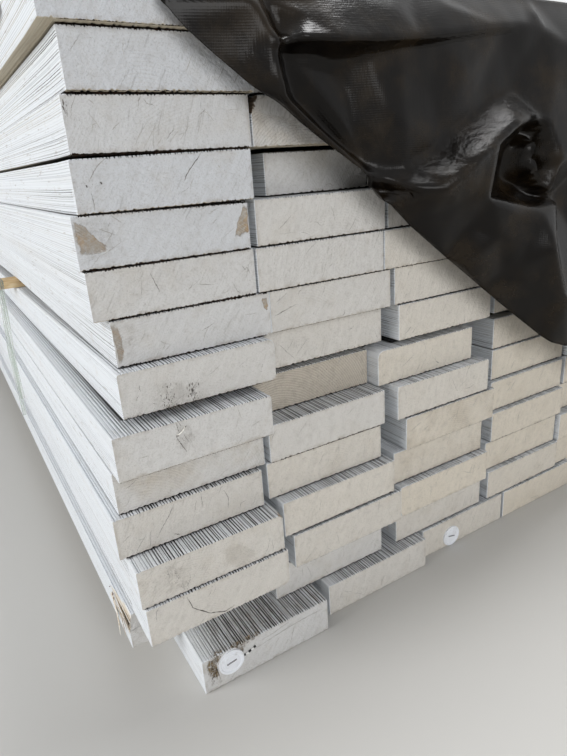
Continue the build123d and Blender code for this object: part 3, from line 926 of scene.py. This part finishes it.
crackShade = crackFinish()
rimPiece()
crackPiece(crackShade)
pitPiece(crackShade)
patchPiece("barePatches", barePatches, bareEndFinish(), 0.06 * mm)
patchPiece("endDirt", dirtPatches, dirtFinish("endDirt", 0.9), 0.05 * mm)
patchPiece("endStains", stains, dirtFinish("endStains", 0.13), 0.045 * mm)
print("marks done")


# cover sheet

sheet = {
    # how far the sheet starts in front of its CAD panel
    "hang": 1.0 * mm,
    # where the pulled-back corner starts, along the front and the side, in mm
    "bareFront": 66.0, "bareSide": 105.0,
    "fineTo": 560.0, "fineColumns": 104, "coarseColumns": 26, "cornerRows": 12, "rows": 58, "above": 0.4 * mm,
    "drop": 82, "dropPower": 1.15, "thickness": 0.5 * mm, "weld": 0.05 * mm,
    # unevenness of the top: how much it is stretched along y, its cell, seed and height
    "uneven": ((1, 0.07, 1, 2.5 * mm), (0.3, 0.02, 2, 1.0 * mm)),
}
# the lower edge away from the picture: at the left how far behind the bare corner and how far below the top;
# at the back and the right the heights; in front the two past the picture's edge; and how wavy it is
hems = {
    "leftAt": (0, 0.295, 0.695, 2.3), "leftDrop": (0.017, 0.038, 0.112, 0.14),
    "backAt": 0.25, "backDrop": 0.14, "back": (0.32, 0.24), "right": (0.215, 0.24),
    "frontAt": 0.08, "front": (0.200, 0.215), "wavy": 0.03, "frontCell": 0.09, "cell": 0.11, "fade": 0.1,
    "least": 1.5 * mm,
}
# the skirt away from the picture: how far it stands out at the least, then per metre of drop everywhere, in
# its waves and near a corner, and at the most; the waves' length and how they stray; the small noise; how
# fast it starts below the top; and how smoothly one side passes into the next
skirt = {
    "least": 2.5 * mm, "flare": 0.04, "waves": 0.08, "cornerFlare": 0.05, "cornerReach": 0.10,
    "mostOut": 38 * mm, "waveLength": 0.31, "stray": 4, "strayCell": 0.4,
    "noise": 3 * mm, "noiseCell": 0.03, "noiseMiddle": 0.3, "topFade": 9 * mm,
    "turnSmoothing": 6, "blendSmoothing": 10, "pictureReach": 0.2,
}
# the front's raster: what it spans beyond the skirt, the level where nothing is known, the least level, and
# its unevenness (stretch along z, cell, seed, height)
relief = {
    "raster": 2.0 * mm, "left": 0.1, "right": 0.08, "z": (0.12, 0.6), "unknown": 0.004, "least": 0.5 * mm,
    "uneven": ((0.6, 0.05, 5, 1.6 * mm), (0.4, 0.014, 6, 0.3 * mm)),
    # ridges and hollows past the picture's edge, each at three heights: from where, how far along x from
    # there and how far out; then single places round the raster, with their z; all in metres
    "ridges": (("last", 0.06, 0.030), ("last", 0.22, 0.012), ("last", 0.33, 0.038), ("last", 0.46, 0.010),
               ("right", -0.05, 0.034), ("right", 0.1, 0.02)),
    "heights": (0.12, 0.30, 0.47),
    "around": (("left", -0.2, 0.62, 0.004), ("right", 0.1, 0.62, 0.004), ("left", -0.2, 0.1, 0.006),
               ("last", 0, 0.12, 0.03)),
    "topOut": 0.001, "topPoints": 9,
}
# how crinkled the sheet is by chance (most, cell of the noise, and what is left of it in the picture's part),
# how far that part goes past the last point of the edge, how places fade and the plane they were read in
crinkles = {"most": 0.5, "cell": 0.11, "inPicture": 0.15, "reach": 0.04, "fade": 0.7, "out": 20 * mm}
# the lower edge in front: picture x, picture y, mm that it stands out
sheetEdge = [
    (162, 0, 6), (182, 25, 7), (215, 55, 8), (250, 85, 10), (259, 91, 10), (290, 115, 8), (321, 140, 8),
    (351, 163, 10), (366, 172, 14), (371, 181, 18), (387, 201, 16), (409, 225, 12), (445, 257, 9),
    (480, 287, 9), (511, 312, 12), (539, 335, 18), (550, 342, 24), (567, 346, 27),
]
# crests and hollows in front as lines of such points
sheetCreases = [
    # right side of the facet beside the bare corner, and the nip next to it
    [(255, 0, 22), (266, 20, 22), (275, 44, 26)], [(264, 0, 6), (272, 18, 6), (279, 38, 8)],
    # small facet under it
    [(275, 48, 25), (246, 61, 13), (250, 85, 10)], [(276, 50, 25), (281, 75, 26), (287, 99, 24)],
    [(287, 99, 24), (306, 117, 17), (330, 138, 14), (362, 166, 14)],
    # black hollow with a low crest through it
    [(281, 52, 6), (285, 75, 3), (292, 99, 0), (325, 134, -2), (360, 162, 2)],
    [(281, 48, 9), (300, 68, 10), (322, 97, 10), (344, 126, 8)],
    [(356, 58, 13), (376, 82, 19), (386, 105, 21), (380, 135, 16), (370, 166, 9)],
    # overhanging fold near the top, and the nip below it
    [(281, 42, 28), (300, 39, 33), (345, 40, 37), (380, 40, 35), (420, 37, 32), (460, 32, 29), (500, 25, 26),
     (530, 24, 22), (548, 31, 22), (567, 43, 24)],
    [(284, 49, 9), (305, 51, 12), (330, 55, 13), (366, 53, 18), (400, 47, 22), (440, 43, 22), (500, 34, 18)],
    # the big fold: where it starts, and its crest
    [(390, 184, 19), (405, 170, 18), (437, 150, 17), (462, 126, 16), (488, 103, 15), (510, 92, 16)],
    [(388, 195, 24), (420, 189, 38), (448, 188, 48), (464, 175, 51), (482, 158, 54), (501, 142, 51),
     (520, 124, 47), (534, 117, 36)],
    # the pocket below the crest and its rim
    [(486, 160, 10), (483, 186, 8), (500, 192, 6), (530, 197, 8), (548, 196, 10)],
    [(486, 160, 10), (505, 148, 6), (526, 130, 10)],
    [(480, 165, 50), (479, 190, 44), (490, 199, 44), (530, 207, 40), (556, 202, 38)],
    [(534, 117, 36), (540, 140, 34), (538, 165, 30), (550, 190, 32)],
    # face under the big fold, and the ridge that runs down from its rim
    [(522, 214, 42), (500, 236, 38), (480, 251, 30), (462, 262, 17)],
    # rounded face at the right edge
    [(543, 215, 46), (530, 245, 42), (522, 263, 38), (530, 282, 35), (545, 308, 31), (550, 335, 26)],
]
# single places between the creases
sheetSpots = [
    (230, 30, 13), (262, 84, 15), (345, 90, 6), (330, 75, 6), (315, 100, 5), (350, 120, 5), (315, 0, 18),
    (340, 14, 25), (365, 0, 19), (300, 15, 20), (400, 10, 25), (450, 5, 21), (540, 12, 20), (402, 75, 23),
    (404, 120, 23), (430, 90, 20), (440, 130, 17), (465, 70, 22), (480, 90, 17), (520, 60, 18),
    (555, 80, 24), (500, 178, 0), (515, 185, 1), (515, 155, 2), (524, 172, 3), (547, 122, 30),
    (560, 160, 36), (402, 204, 21), (430, 214, 26), (458, 204, 36), (470, 225, 26), (440, 240, 17),
    (500, 275, 20), (558, 250, 56), (567, 300, 48),
]
# where the front of the sheet is crinkled: picture x, picture y, radius in mm, how much
sheetWorked = [
    (400, 182, 9, 0.7), (415, 174, 12, 0.8), (430, 172, 13, 0.8), (446, 160, 14, 0.8), (458, 148, 14, 0.8),
    (470, 138, 13, 0.8), (482, 124, 13, 0.8), (496, 114, 13, 0.7), (512, 106, 13, 0.6), (524, 110, 12, 0.6),
    (545, 175, 9, 0.8), (538, 165, 8, 0.6), (556, 190, 8, 0.6), (310, 10, 22, 0.2), (335, 18, 22, 0.3),
    (360, 12, 22, 0.3), (385, 16, 20, 0.2), (410, 8, 18, 0.2), (470, 10, 16, 0.2), (258, 62, 7, 0.4),
    (268, 75, 7, 0.3),
]


def softNoise(a, b, cell, seed):
    # random heights on a square lattice, eased between its points: 0 to 1 over (a, b)
    lattice = np.random.default_rng(seed).uniform(0, 1, (64, 64))
    u, v = a / cell + 1000, b / cell + 1000
    i, j = np.floor(u).astype(int), np.floor(v).astype(int)
    u, v = u - i, v - j
    u, v = u * u * (3 - 2 * u), v * v * (3 - 2 * v)
    at = lambda di, dj: lattice[(i + di) % 64, (j + dj) % 64]
    return (at(0, 0) * (1 - u) + at(1, 0) * u) * (1 - v) + (at(0, 1) * (1 - u) + at(1, 1) * u) * v


def facets(known, values, edges, at):
    # straight interpolation over the triangles between the known points, which keep to the edges
    tris = delaunay_2d_cdt([Vector(p) for p in known], edges, [], 0, 1e-6)
    spots, faces = np.array([list(p) for p in tris[0]]), tris[2]
    level = np.array([np.mean([values[k] for k in source]) for source in tris[3]])
    found = np.full(len(at), np.nan)
    for a, b, c in faces:
        origin, e1, e2 = spots[a], spots[b] - spots[a], spots[c] - spots[a]
        d = at - origin
        area = e1[0] * e2[1] - e1[1] * e2[0]
        u = (d[:, 0] * e2[1] - d[:, 1] * e2[0]) / area
        v = (e1[0] * d[:, 1] - e1[1] * d[:, 0]) / area
        inside = (u > -1e-6) & (v > -1e-6) & (u + v < 1 + 1e-6)
        found[inside] = (level[a] + u * (level[b] - level[a]) + v * (level[c] - level[a]))[inside]
    return found


def pictureEdge(plane):
    # the lower edge in front, as points in space
    edge = np.array(sheetEdge, float)
    return fromPicture(edge[:, :2], plane - edge[:, 2] * mm)


def frontRelief(span):
    # how far the front stands out, on a fine raster over (x, z), from the folds read off the picture
    left, right, front, back, top = span
    lines = [sheetEdge] + sheetCreases
    starts = np.cumsum([0] + [len(line) for line in lines])
    edges = [(int(k) + i, int(k) + i + 1) for k, line in zip(starts, lines) for i in range(len(line) - 1)]
    marks = np.array(sum(lines, []) + sheetSpots, float)
    out = marks[:, 2] * mm
    spots = fromPicture(marks[:, :2], front - out)[:, [0, 2]]
    last = spots[len(sheetEdge) - 1, 0]
    base = {"left": left, "right": right, "last": last}
    rest = [(base[side] + away, z, far) for side, away, far in relief["ridges"] for z in relief["heights"]]
    rest += [(base[side] + away, z, far) for side, away, z, far in relief["around"]]
    rest += [(x, top, relief["topOut"]) for x in np.linspace(left, right, relief["topPoints"])]
    known = [tuple(s) for s in spots] + [(x, z) for x, z, far in rest]
    values = np.concatenate([out, [far for x, z, far in rest]])
    xs = np.arange(left - relief["left"], right + relief["right"], relief["raster"])
    zs = np.arange(*relief["z"], relief["raster"])
    gx, gz = np.meshgrid(xs, zs, indexing="ij")
    level = facets(known, values, edges, np.column_stack([gx.ravel(), gz.ravel()])).reshape(gx.shape)
    level = np.nan_to_num(level, nan=relief["unknown"])
    for stretch, cell, seed, height in relief["uneven"]:
        level += (softNoise(gx, gz * stretch, cell, seed) - 0.5) * height
    pad = np.pad(level, 1, mode="edge")
    level = (pad[1:-1, 1:-1] * 2 + pad[:-2, 1:-1] + pad[2:, 1:-1] + pad[1:-1, :-2] + pad[1:-1, 2:]) / 6
    return xs, zs, np.maximum(level, relief["least"])


def sampled(xs, zs, level, x, z):
    # straight interpolation on the raster
    i = np.clip((x - xs[0]) / (xs[1] - xs[0]), 0, len(xs) - 1.001)
    j = np.clip((z - zs[0]) / (zs[1] - zs[0]), 0, len(zs) - 1.001)
    a, b = i.astype(int), j.astype(int)
    u, v = i - a, j - b
    return ((level[a, b] * (1 - u) + level[a + 1, b] * u) * (1 - v)
            + (level[a, b + 1] * (1 - u) + level[a + 1, b + 1] * u) * v)


def evened(values, times):
    # each value drawn towards its neighbours' mean, the given number of times
    for _ in range(times):
        values[1:-1] = (values[:-2] + values[1:-1] * 2 + values[2:]) / 4
    return values


def crownGrid(span, bareX, bareY):
    # the top's points, row after row from the front; the first rows start at the edge of the bare corner,
    # and the heights are the top boards' own, a little uneven
    left, right, front, back, top = span
    co = pointsOf(nodes["layer_15"].data)
    crown = co[co[:, 2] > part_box("layer_15")[1].z - 20 * mm]
    stations = np.unique(np.round(crown[:, 1], 3))
    heights = np.array([crown[np.abs(crown[:, 1] - y) < 1 * mm, 2].max() for y in stations])
    ys = np.concatenate([np.linspace(front, bareY, sheet["cornerRows"]),
                         np.linspace(bareY, back, sheet["rows"])[1:]])
    edgeX = np.where(ys < bareY, bareX + (left - bareX) * (ys - front) / (bareY - front), left)
    fineShare = (packCorner()[0] + sheet["fineTo"] * mm - bareX) / (right - bareX)
    t = np.concatenate([np.linspace(0, fineShare, sheet["fineColumns"]),
                        np.linspace(fineShare, 1, sheet["coarseColumns"])[1:]])
    x = edgeX[:, None] + t[None] * (right - edgeX[:, None])
    y = np.repeat(ys[:, None], len(t), 1)
    z = np.interp(y, stations, heights) + sheet["above"]
    for stretch, cell, seed, height in sheet["uneven"]:
        z += softNoise(x, y * stretch, cell, seed) * height
    return np.stack([x, y, z], -1)


def hemHeights(path, along, sides, span, bareY):
    # the lower edge: in front as the picture shows it, elsewhere through a few places and a little wavy
    left, right, front, back, top = span
    x, y, height = path.T
    known = pictureEdge(front)
    last = known[-1, 0]
    waves = lambda a, cell, seed: (softNoise(a, 0 * a, cell, seed) - 0.5) * hems["wavy"]
    inFront = np.interp(x, np.append(known[:, 0], [last + hems["frontAt"], right]),
                        np.append(known[:, 2], hems["front"]))
    inFront += np.where(x > last, waves(x, hems["frontCell"], 8), 0)
    atLeft = np.interp(y, bareY + np.array(hems["leftAt"]), top - np.array(hems["leftDrop"]))
    atBack = np.interp(x, [left, left + hems["backAt"], right], [top - hems["backDrop"], *hems["back"]])
    atRight = np.interp(y, [front, back], hems["right"])
    hem = np.choose(sides, [atLeft, atBack, atRight, inFront])
    fade = np.minimum(1, (height - hem) / hems["fade"])
    hem += np.where(sides < 3, waves(along, hems["cell"], 9) * fade, 0)
    return np.minimum(hem, height - hems["least"])


def skirtPoints(path, along, sides, hem, span, last):
    # the path carried down to the hem: in front it stands out by the folds of the picture, elsewhere by
    # flare * drop, with waves and corners flaring more
    outward = np.array([(-1, 0), (0, 1), (1, 0), (0, -1)], float)[sides]
    outward = evened(outward, skirt["turnSmoothing"])
    outward /= np.linalg.norm(outward, axis=1)[:, None]
    s = np.linspace(0, 1, sheet["drop"])[None] ** sheet["dropPower"]
    drop = (path[:, 2] - hem)[:, None] * s
    x, y, z = (np.repeat(path[:, k][:, None], s.shape[1], 1) for k in range(3))
    z = z - drop
    folds = sampled(*frontRelief(span), x, z)
    far = np.repeat(along[:, None], s.shape[1], 1)
    corners = along[np.flatnonzero(np.diff(sides))]
    nearCorner = np.exp(-((along[:, None] - corners[None]) / skirt["cornerReach"]) ** 2).max(1)[:, None]
    turn = far * 2 * math.pi / skirt["waveLength"] + skirt["stray"] * softNoise(far, z, skirt["strayCell"], 3)
    wave = 0.5 + 0.5 * np.sin(turn)
    flare = skirt["flare"] + skirt["waves"] * wave ** 2 + skirt["cornerFlare"] * nearCorner
    loose = skirt["least"] + drop * flare
    loose += (softNoise(far, z * 0.5, skirt["noiseCell"], 4) - skirt["noiseMiddle"]) * skirt["noise"]
    loose = skirt["mostOut"] * np.tanh(loose / skirt["mostOut"])
    isFront = (sides == 3).astype(float)
    blend = evened(isFront.copy(), skirt["blendSmoothing"])
    blend = np.where(path[:, 0] < last + skirt["pictureReach"], isFront, blend)[:, None]
    out = (folds * blend + loose * (1 - blend)) * (1 - np.exp(-drop / skirt["topFade"]))
    out = np.maximum(out, 0)
    return np.stack([x + outward[:, :1] * out, y + outward[:, 1:] * out, z], -1)


def workedShare(points, front, last):
    # how crinkled the sheet is: at the picture's places strong * exp(-fade * r^4), elsewhere by chance
    spots = np.array(sheetWorked, float)
    centres = fromPicture(spots[:, :2], np.full(len(spots), front - crinkles["out"]))
    x, y, z = points.T
    chance = softNoise(x + y, z, crinkles["cell"], 11)
    worked = crinkles["most"] * np.clip(chance * 2 - 1, 0, 1)
    seen = (y < front + 1 * mm) & (x < last + crinkles["reach"])
    worked[seen] *= crinkles["inPicture"]
    for centre, (radius, strong) in zip(centres, spots[:, 2:]):
        away = np.hypot(x[seen] - centre[0], z[seen] - centre[2]) / (radius * mm)
        worked[seen] = np.maximum(worked[seen], strong * np.exp(-away ** 4 * crinkles["fade"]))
    return worked


def joinAndMeasure(bm):
    bmesh.ops.remove_doubles(bm, verts=bm.verts, dist=sheet["weld"])
    faceOutwards(bm)
    return sum(face.calc_area() for face in bm.faces)


def coverSheet(material):
    # a top that lies on the boards, joined to a skirt that hangs round it; the skirt is its outline
    # carried down
    low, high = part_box("wrap")
    front = low.y + sheet["hang"]
    span = low.x, high.x, front, high.y, high.z
    bareX, bareY = (packCorner()[:2] + np.array([sheet["bareFront"], sheet["bareSide"]]) * mm)
    crown = crownGrid(span, bareX, bareY)
    n, m = crown.shape[:2]
    # the skirt's path goes along the crown's border points: left side, back, right side and front
    bare = sheet["cornerRows"] - 1
    path = np.concatenate([crown[bare:, 0], crown[-1, 1:], crown[:-1, -1][::-1], crown[0, :-1][::-1]])
    sides = np.repeat([0, 1, 2, 3], [n - bare, m - 1, n - 1, m - 1])
    along = np.concatenate([[0], np.cumsum(np.linalg.norm(np.diff(path[:, :2], axis=0), axis=1))])
    last = pictureEdge(front)[-1, 0]
    hem = hemHeights(path, along, sides, span, bareY)
    hanging = skirtPoints(path, along, sides, hem, span, last)
    points = np.concatenate([crown.reshape(-1, 3), hanging.reshape(-1, 3)])
    faces = [gridFaces(n, m), n * m + gridFaces(*hanging.shape[:2], turned=True)]
    piece = meshObject("coverSheet", points, faces, material, {"worked": workedShare(points, front, last)},
                       smooth=True)
    area = reworked(piece, joinAndMeasure)
    solid = piece.modifiers.new("thickness", "SOLIDIFY")
    solid.thickness, solid.offset = sheet["thickness"], 1.0
    print("sheet area", round(area, 3), "faces", len(piece.data.polygons))
    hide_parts("wrap")
    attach(piece, "root")
    return piece


def blackSheet():
    # black woven film: smooth with a fine square weave, crinkled in small sharp folds where it was
    # worked, a brown film of dust
    f = Finish("blackSheet", roughness=0.3, specular=0.18)
    where = f.place()
    x, y, z = f.split(where)
    worked = f.attribute("worked")
    weave = (x * 3700).sine() + (y * 3700).sine() + (z * 3700).sine()
    thread = sum(f.stretched((x, y, z), scales, 2, 0.6) for scales in ((40, 40, 900), (900, 900, 40)))
    # the crinkles lean with the fold; |n - 0.5| of a noise has a sharp bottom where it crosses its middle
    leaning = f.join(x * 0.8 + z * 0.3, y, z * 0.6 - x * 0.3)
    folds = abs(f.noise(leaning, 60, 3, 0.55, 0.2) - 0.5)
    small = f.noise(leaning, 170, 4, 0.7)
    waves = f.noise(f.join(x, y, z * 0.4), 34, 1)
    height = folds * worked * 0.0022 + small * (worked * 0.0009 + 0.00006) + waves * 0.0005
    height = height + weave * 0.00001 + thread * 0.00004
    dust = f.noise(where, 22, 4, 0.65).between(0.4, 0.75)
    shade = f.mix(dust, (8, 5, 3), (34, 26, 15))
    return f.feed(Base_Color=shade, Roughness=0.22 + dust * 0.09, Normal=f.bump(height, 1.0, 1.0))


coverSheet(blackSheet())
print("sheet done")


# laths, strap, caps and staples

def refinish(name, material):
    nodes[name].data.materials.clear()
    nodes[name].data.materials.append(material)


def lathWood():
    # bare rough-sawn softwood, its grain along X, paler on top and browner where it was crushed
    f = Finish("lathWood", roughness=0.85, specular=0.2)
    place = f.split(f.place())
    facing = f.split(f.add("NewGeometry", out="Normal"))
    grain = f.stretched(place, (14, 260, 260), 4, 0.6)
    patches = f.stretched(place, (30, 30, 160), 3, 0.6)
    crushed = f.stretched(place, (60, 60, 420), 2, 0.6).between(0.66, 0.72)
    wood = f.coated(
        (222, 198, 156),
        (grain.between(0.35, 0.65), (184, 146, 100)),
        (patches.between(0.5, 0.7) * 0.55, (236, 222, 190)),
        (crushed * 0.8, (92, 66, 42)),
        (abs(facing[0]).between(0.7, 0.9) * 0.35, (150, 122, 86)))
    return f.feed(Base_Color=wood, Normal=f.bump(grain + patches * 0.5, 0.4 * mm, 0.8))


def strapPlastic():
    # thin translucent strap: clear in the middle, its two thick edges greener and less clear
    f = Finish("strapPlastic", roughness=0.35, specular=0.5)
    lengthwise = f.stretched(f.split(f.place()), (1500, 1500, 12), 2, 0.5)
    tint = f.mix(lengthwise.between(0.4, 0.65), (238, 241, 236), (172, 188, 172))
    clear = lengthwise.between(0.45, 0.62) * 0.4 + 0.12
    return f.feed(Base_Color=tint, Alpha=clear, Normal=f.bump(lengthwise, 0.2 * mm, 0.5))


def capPlastic():
    # moulded white plastic, a little grime rubbed into it
    f = Finish("capPlastic", roughness=0.4, specular=0.45)
    where = f.place()
    grime = f.noise(where, 160, 4, 0.65).between(0.5, 0.72)
    scuff = f.noise(where, 900, 2, 0.7)
    shade = f.mix(grime * 0.35, (238, 241, 247), (190, 190, 186))
    bumps = f.bump(scuff + grime, 0.12 * mm, 0.5)
    return f.feed(Base_Color=shade, Roughness=0.38 + scuff * 0.2, Normal=bumps)


def dullSteel():
    # galvanised wire gone grey, with darker spots
    f = Finish("dullSteel", roughness=0.45, metallic=0.7)
    spots = f.noise(f.place(), 700, 3, 0.6).between(0.5, 0.7)
    return f.feed(Base_Color=f.mix(spots, (158, 160, 164), (112, 108, 104)), Roughness=0.4 + spots * 0.25)


refinish("laths", lathWood())
refinish("strap", strapPlastic())
refinish("cap_washers", capPlastic())
refinish("staples", dullSteel())


def tube(name, line, radius, material, stationValues=()):
    # a round section carried along the line, closed at both ends
    sides, n = 8, len(line)
    way = np.gradient(line, axis=0)
    way /= np.linalg.norm(way, axis=1)[:, None]
    level = np.cross(way, (0.0, 0.0, 1.0))
    level /= np.linalg.norm(level, axis=1)[:, None]
    upright = np.cross(level, way)
    angle = np.arange(sides) * 2 * math.pi / sides
    ring = np.cos(angle)[None, :, None] * level[:, None] + np.sin(angle)[None, :, None] * upright[:, None]
    points = (line[:, None] + ring * radius).reshape(-1, 3)
    ends = [np.arange(sides)[None], ((n - 1) * sides + np.arange(sides))[None, ::-1]]
    values = {key: np.repeat(value, sides) for key, value in dict(stationValues).items()}
    piece = meshObject(name, points, [gridFaces(n, sides, closed=True, turned=True)] + ends, material, values,
                       smooth=True)
    reworked(piece, faceOutwards)
    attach(piece, "root")
    return piece


# a bent staple left in an end: board, picture places of its legs, wire radius; its line lies at
# reach * sin(pi t)^0.35 - deep from the face
oldStaple = {"board": (7, 1), "ends": [(176.9, 435.7), (185.2, 426.3)], "radius": 0.5 * mm, "deep": 1.5 * mm,
             "reach": 3.1 * mm, "stations": 9}


def leftoverStaple():
    # both legs in the wood, the back standing a little off the end
    (x0, z0), (x1, z1) = onEnd(*oldStaple["board"], oldStaple["ends"], 0.0)[0]
    face = frontOf[oldStaple["board"]]
    t = np.linspace(0, 1, oldStaple["stations"])
    out = oldStaple["reach"] * np.sin(math.pi * t) ** 0.35 - oldStaple["deep"]
    line = np.column_stack([x0 + (x1 - x0) * t, face - out, z0 + (z1 - z0) * t])
    # the wire is painted near white, a painted highlight standing in for the glint of the steel
    f = Finish("paintedHighlightWire", roughness=0.3, specular=0.6)
    shade = f.mix(f.noise(f.place(), 900, 2).between(0.5, 0.8), (252, 250, 244), (196, 188, 174))
    return tube("old_staple", line, oldStaple["radius"], f.feed(Base_Color=shade))


# a scrap of the sheet's edging beside the first cap, black and white by turns: how many bands from one
# point to the next and where the first starts
scrap = {
    "board": (1, 1),
    "spots": [(243.5, 654.6), (247.5, 652.0), (250.5, 649.2), (253.5, 647.0), (256.0, 644.0)],
    "radius": 0.95 * mm, "stations": 41, "bands": 1.24, "bandStart": 0.4,
}


def edgingScrap():
    xz = onEnd(*scrap["board"], scrap["spots"], 0.0)[0]
    t = np.linspace(0, len(xz) - 1, scrap["stations"])
    knots = np.arange(len(xz))
    line = atPlane(np.interp(t, knots, xz[:, 0]), frontOf[scrap["board"]] - scrap["radius"],
                   np.interp(t, knots, xz[:, 1]))
    dark = (np.floor(t * scrap["bands"] + scrap["bandStart"]) % 2 == 0).astype(float)
    f = Finish("edgingScrap", roughness=0.6)
    material = f.feed(Base_Color=f.mix(f.attribute("dark").between(0.3, 0.7), (232, 232, 230), (18, 18, 19)))
    return tube("edging_scrap", line, scrap["radius"], material, {"dark": dark})


# splinters at the broken side of the second row's first board: how far the root lies behind the front
# and above the underside, the way to the tip (out, up, ahead), height and depth at the root, all mm
splinters = [
    (60, 20, 6.5, -13, 44, 9, 2.6), (52, 27, 3.4, -15, 46, 6, 1.8), (57, 31, 2.6, -6, 22, 4, 1.4),
    (40, 26, 1.8, -9, 34, 5, 1.4), (60, 25, 2.0, 2, 12, 2.0, 1.0), (62, 29, 2.2, 5, 8, 1.6, 0.8),
    (55, 31, 2.0, -3, 9, 1.6, 0.8), (56, 24, 2.0, -2, 10, 1.8, 0.9), (50, 29, 2.0, 4, 8, 1.4, 0.8),
]
splinterMesh = {"stations": 14, "sides": 8, "rootOut": 0.8, "stray": 0.12 * mm, "ragged": (0.85, 1.1)}


def fillEnds(bm):
    bmesh.ops.holes_fill(bm, edges=bm.edges, sides=splinterMesh["sides"])
    faceOutwards(bm)


def tornSplinters():
    # each is a flattened spindle: height and depth times sqrt(1.02 - t), its line bending out as t^1.6
    # and up as t^1.3; "dark" is higher on the thin ones
    n, sides = splinterMesh["stations"], splinterMesh["sides"]
    b = boardsOf("layer_02")[0]
    x, y, z = b["x0"], b["ys"][0], b["floors"][0]
    rng = np.random.default_rng(5)
    t = np.linspace(0, 1, n)
    angle = np.arange(sides) * 2 * math.pi / sides
    pile = Pile()
    for behind, above, out, up, ahead, high, deep in splinters:
        out = splinterMesh["rootOut"] - out * t ** 1.6
        line = np.column_stack([x + mm * out, y + mm * (behind - ahead * t),
                                z + mm * (above + up * t ** 1.3)])
        line[1:-1] += rng.normal(0, splinterMesh["stray"], (n - 2, 3))
        taper = np.sqrt(1.02 - t) * rng.uniform(*splinterMesh["ragged"], n)
        section = np.stack([np.cos(angle) * deep / 2, 0 * angle, np.sin(angle) * high / 2], -1) * mm
        pile.put((line[:, None] + section[None] * taper[:, None, None]).reshape(-1, 3),
                 gridFaces(n, sides, closed=True), dark=1.0 if high < 3 else 0.35 if high < 7 else 0.1)
    f = Finish("splinterWood", roughness=0.8, specular=0.2)
    fibre = f.stretched(f.split(f.place()), (900, 30, 900), 3, 0.6)
    pale = f.mix(fibre.between(0.45, 0.65) * 0.6, (244, 240, 230), (204, 172, 128))
    shade = f.mix(f.attribute("dark"), pale, (96, 66, 44))
    piece = pile.piece("splinters", f.feed(Base_Color=shade, Normal=f.bump(fibre, 0.3 * mm, 0.8)))
    reworked(piece, fillEnds)
    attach(piece, "root")
    return piece


leftoverStaple()
edgingScrap()
tornSplinters()
print("small pieces done")


# floor and light

studio = {
    "floor": (205, 204, 201), "floorEnd": (1.9, 3.8), "floorSize": 40.0,
    "backdrop": (243, 244, 245), "world": 0.24,
    # name, place, where it points, size, power
    "lamps": [("key", (-3.2, -0.9, 1.5), (0, -0.6, 0.3), 1.8, 60.0),
              ("fill", (-0.9, -4.7, 1.4), (0, -1.0, 0.3), 2.4, 60.0),
              ("sky", (0.75, -0.62, 3.6), (0.0, -0.6, 0.3), 1.8, 88.0)],
}


def floorPiece():
    # pale and matt near the stack; farther out it passes into the backdrop for the camera
    f = Finish("floorFinish", roughness=0.9)
    f.feed(Base_Color=colour(studio["floor"]))
    x, y, z = f.split(f.place())
    seen = f.add("LightPath", out="Is Camera Ray").atLeast(f.add("LightPath", out="Is Glossy Ray"))
    away = ((x * x + y * y) ** 0.5).between(*studio["floorEnd"]) * seen
    glow = f.tree.nodes.new("ShaderNodeEmission")
    glow.inputs[0].default_value = colour(studio["backdrop"])
    blend = f.tree.nodes.new("ShaderNodeMixShader")
    plug(f.tree, blend.inputs[0], away)
    f.tree.links.new(f.bsdf.outputs[0], blend.inputs[1])
    f.tree.links.new(glow.outputs[0], blend.inputs[2])
    f.tree.links.new(blend.outputs[0], f.tree.nodes["Material Output"].inputs[0])
    size = studio["floorSize"]
    grid = np.array([[-size, -size, 0], [size, -size, 0], [size, size, 0], [-size, size, 0]])
    floor = meshObject("floor", grid, [np.array([[0, 1, 2, 3]])], f.material)


def areaLight(name, place, target, size, power):
    lamp = bpy.data.lights.new(name, "AREA")
    lamp.shape, lamp.size, lamp.energy = "DISK", size, power
    body = bpy.data.objects.new(name, lamp)
    body.location = place
    body.rotation_euler = (Vector(target) - Vector(place)).to_track_quat("-Z", "Y").to_euler()
    bpy.context.scene.collection.objects.link(body)


def backdrop():
    # pale to the camera, a plain dim grey for the light it gives
    world = bpy.data.worlds.new("studio")
    bpy.context.scene.world = world
    world.use_nodes = True
    tree = world.node_tree
    tree.nodes.clear()
    path = tree.nodes.new("ShaderNodeLightPath")
    camera, glossy, through = (Wire(tree, path.outputs[f"Is {kind} Ray"])
                               for kind in ("Camera", "Glossy", "Transmission"))
    seen = camera.atLeast(glossy).atLeast(through)
    back = tree.nodes.new("ShaderNodeBackground")
    back.inputs[0].default_value = colour(studio["backdrop"])
    plug(tree, back.inputs[1], seen * (1.0 - studio["world"]) + studio["world"])
    out = tree.nodes.new("ShaderNodeOutputWorld")
    tree.links.new(back.outputs[0], out.inputs[0])


floorPiece()
backdrop()
for lamp in studio["lamps"]:
    areaLight(*lamp)
photoCamera()
bpy.context.scene.view_settings.view_transform = "Standard"
print("stage done")
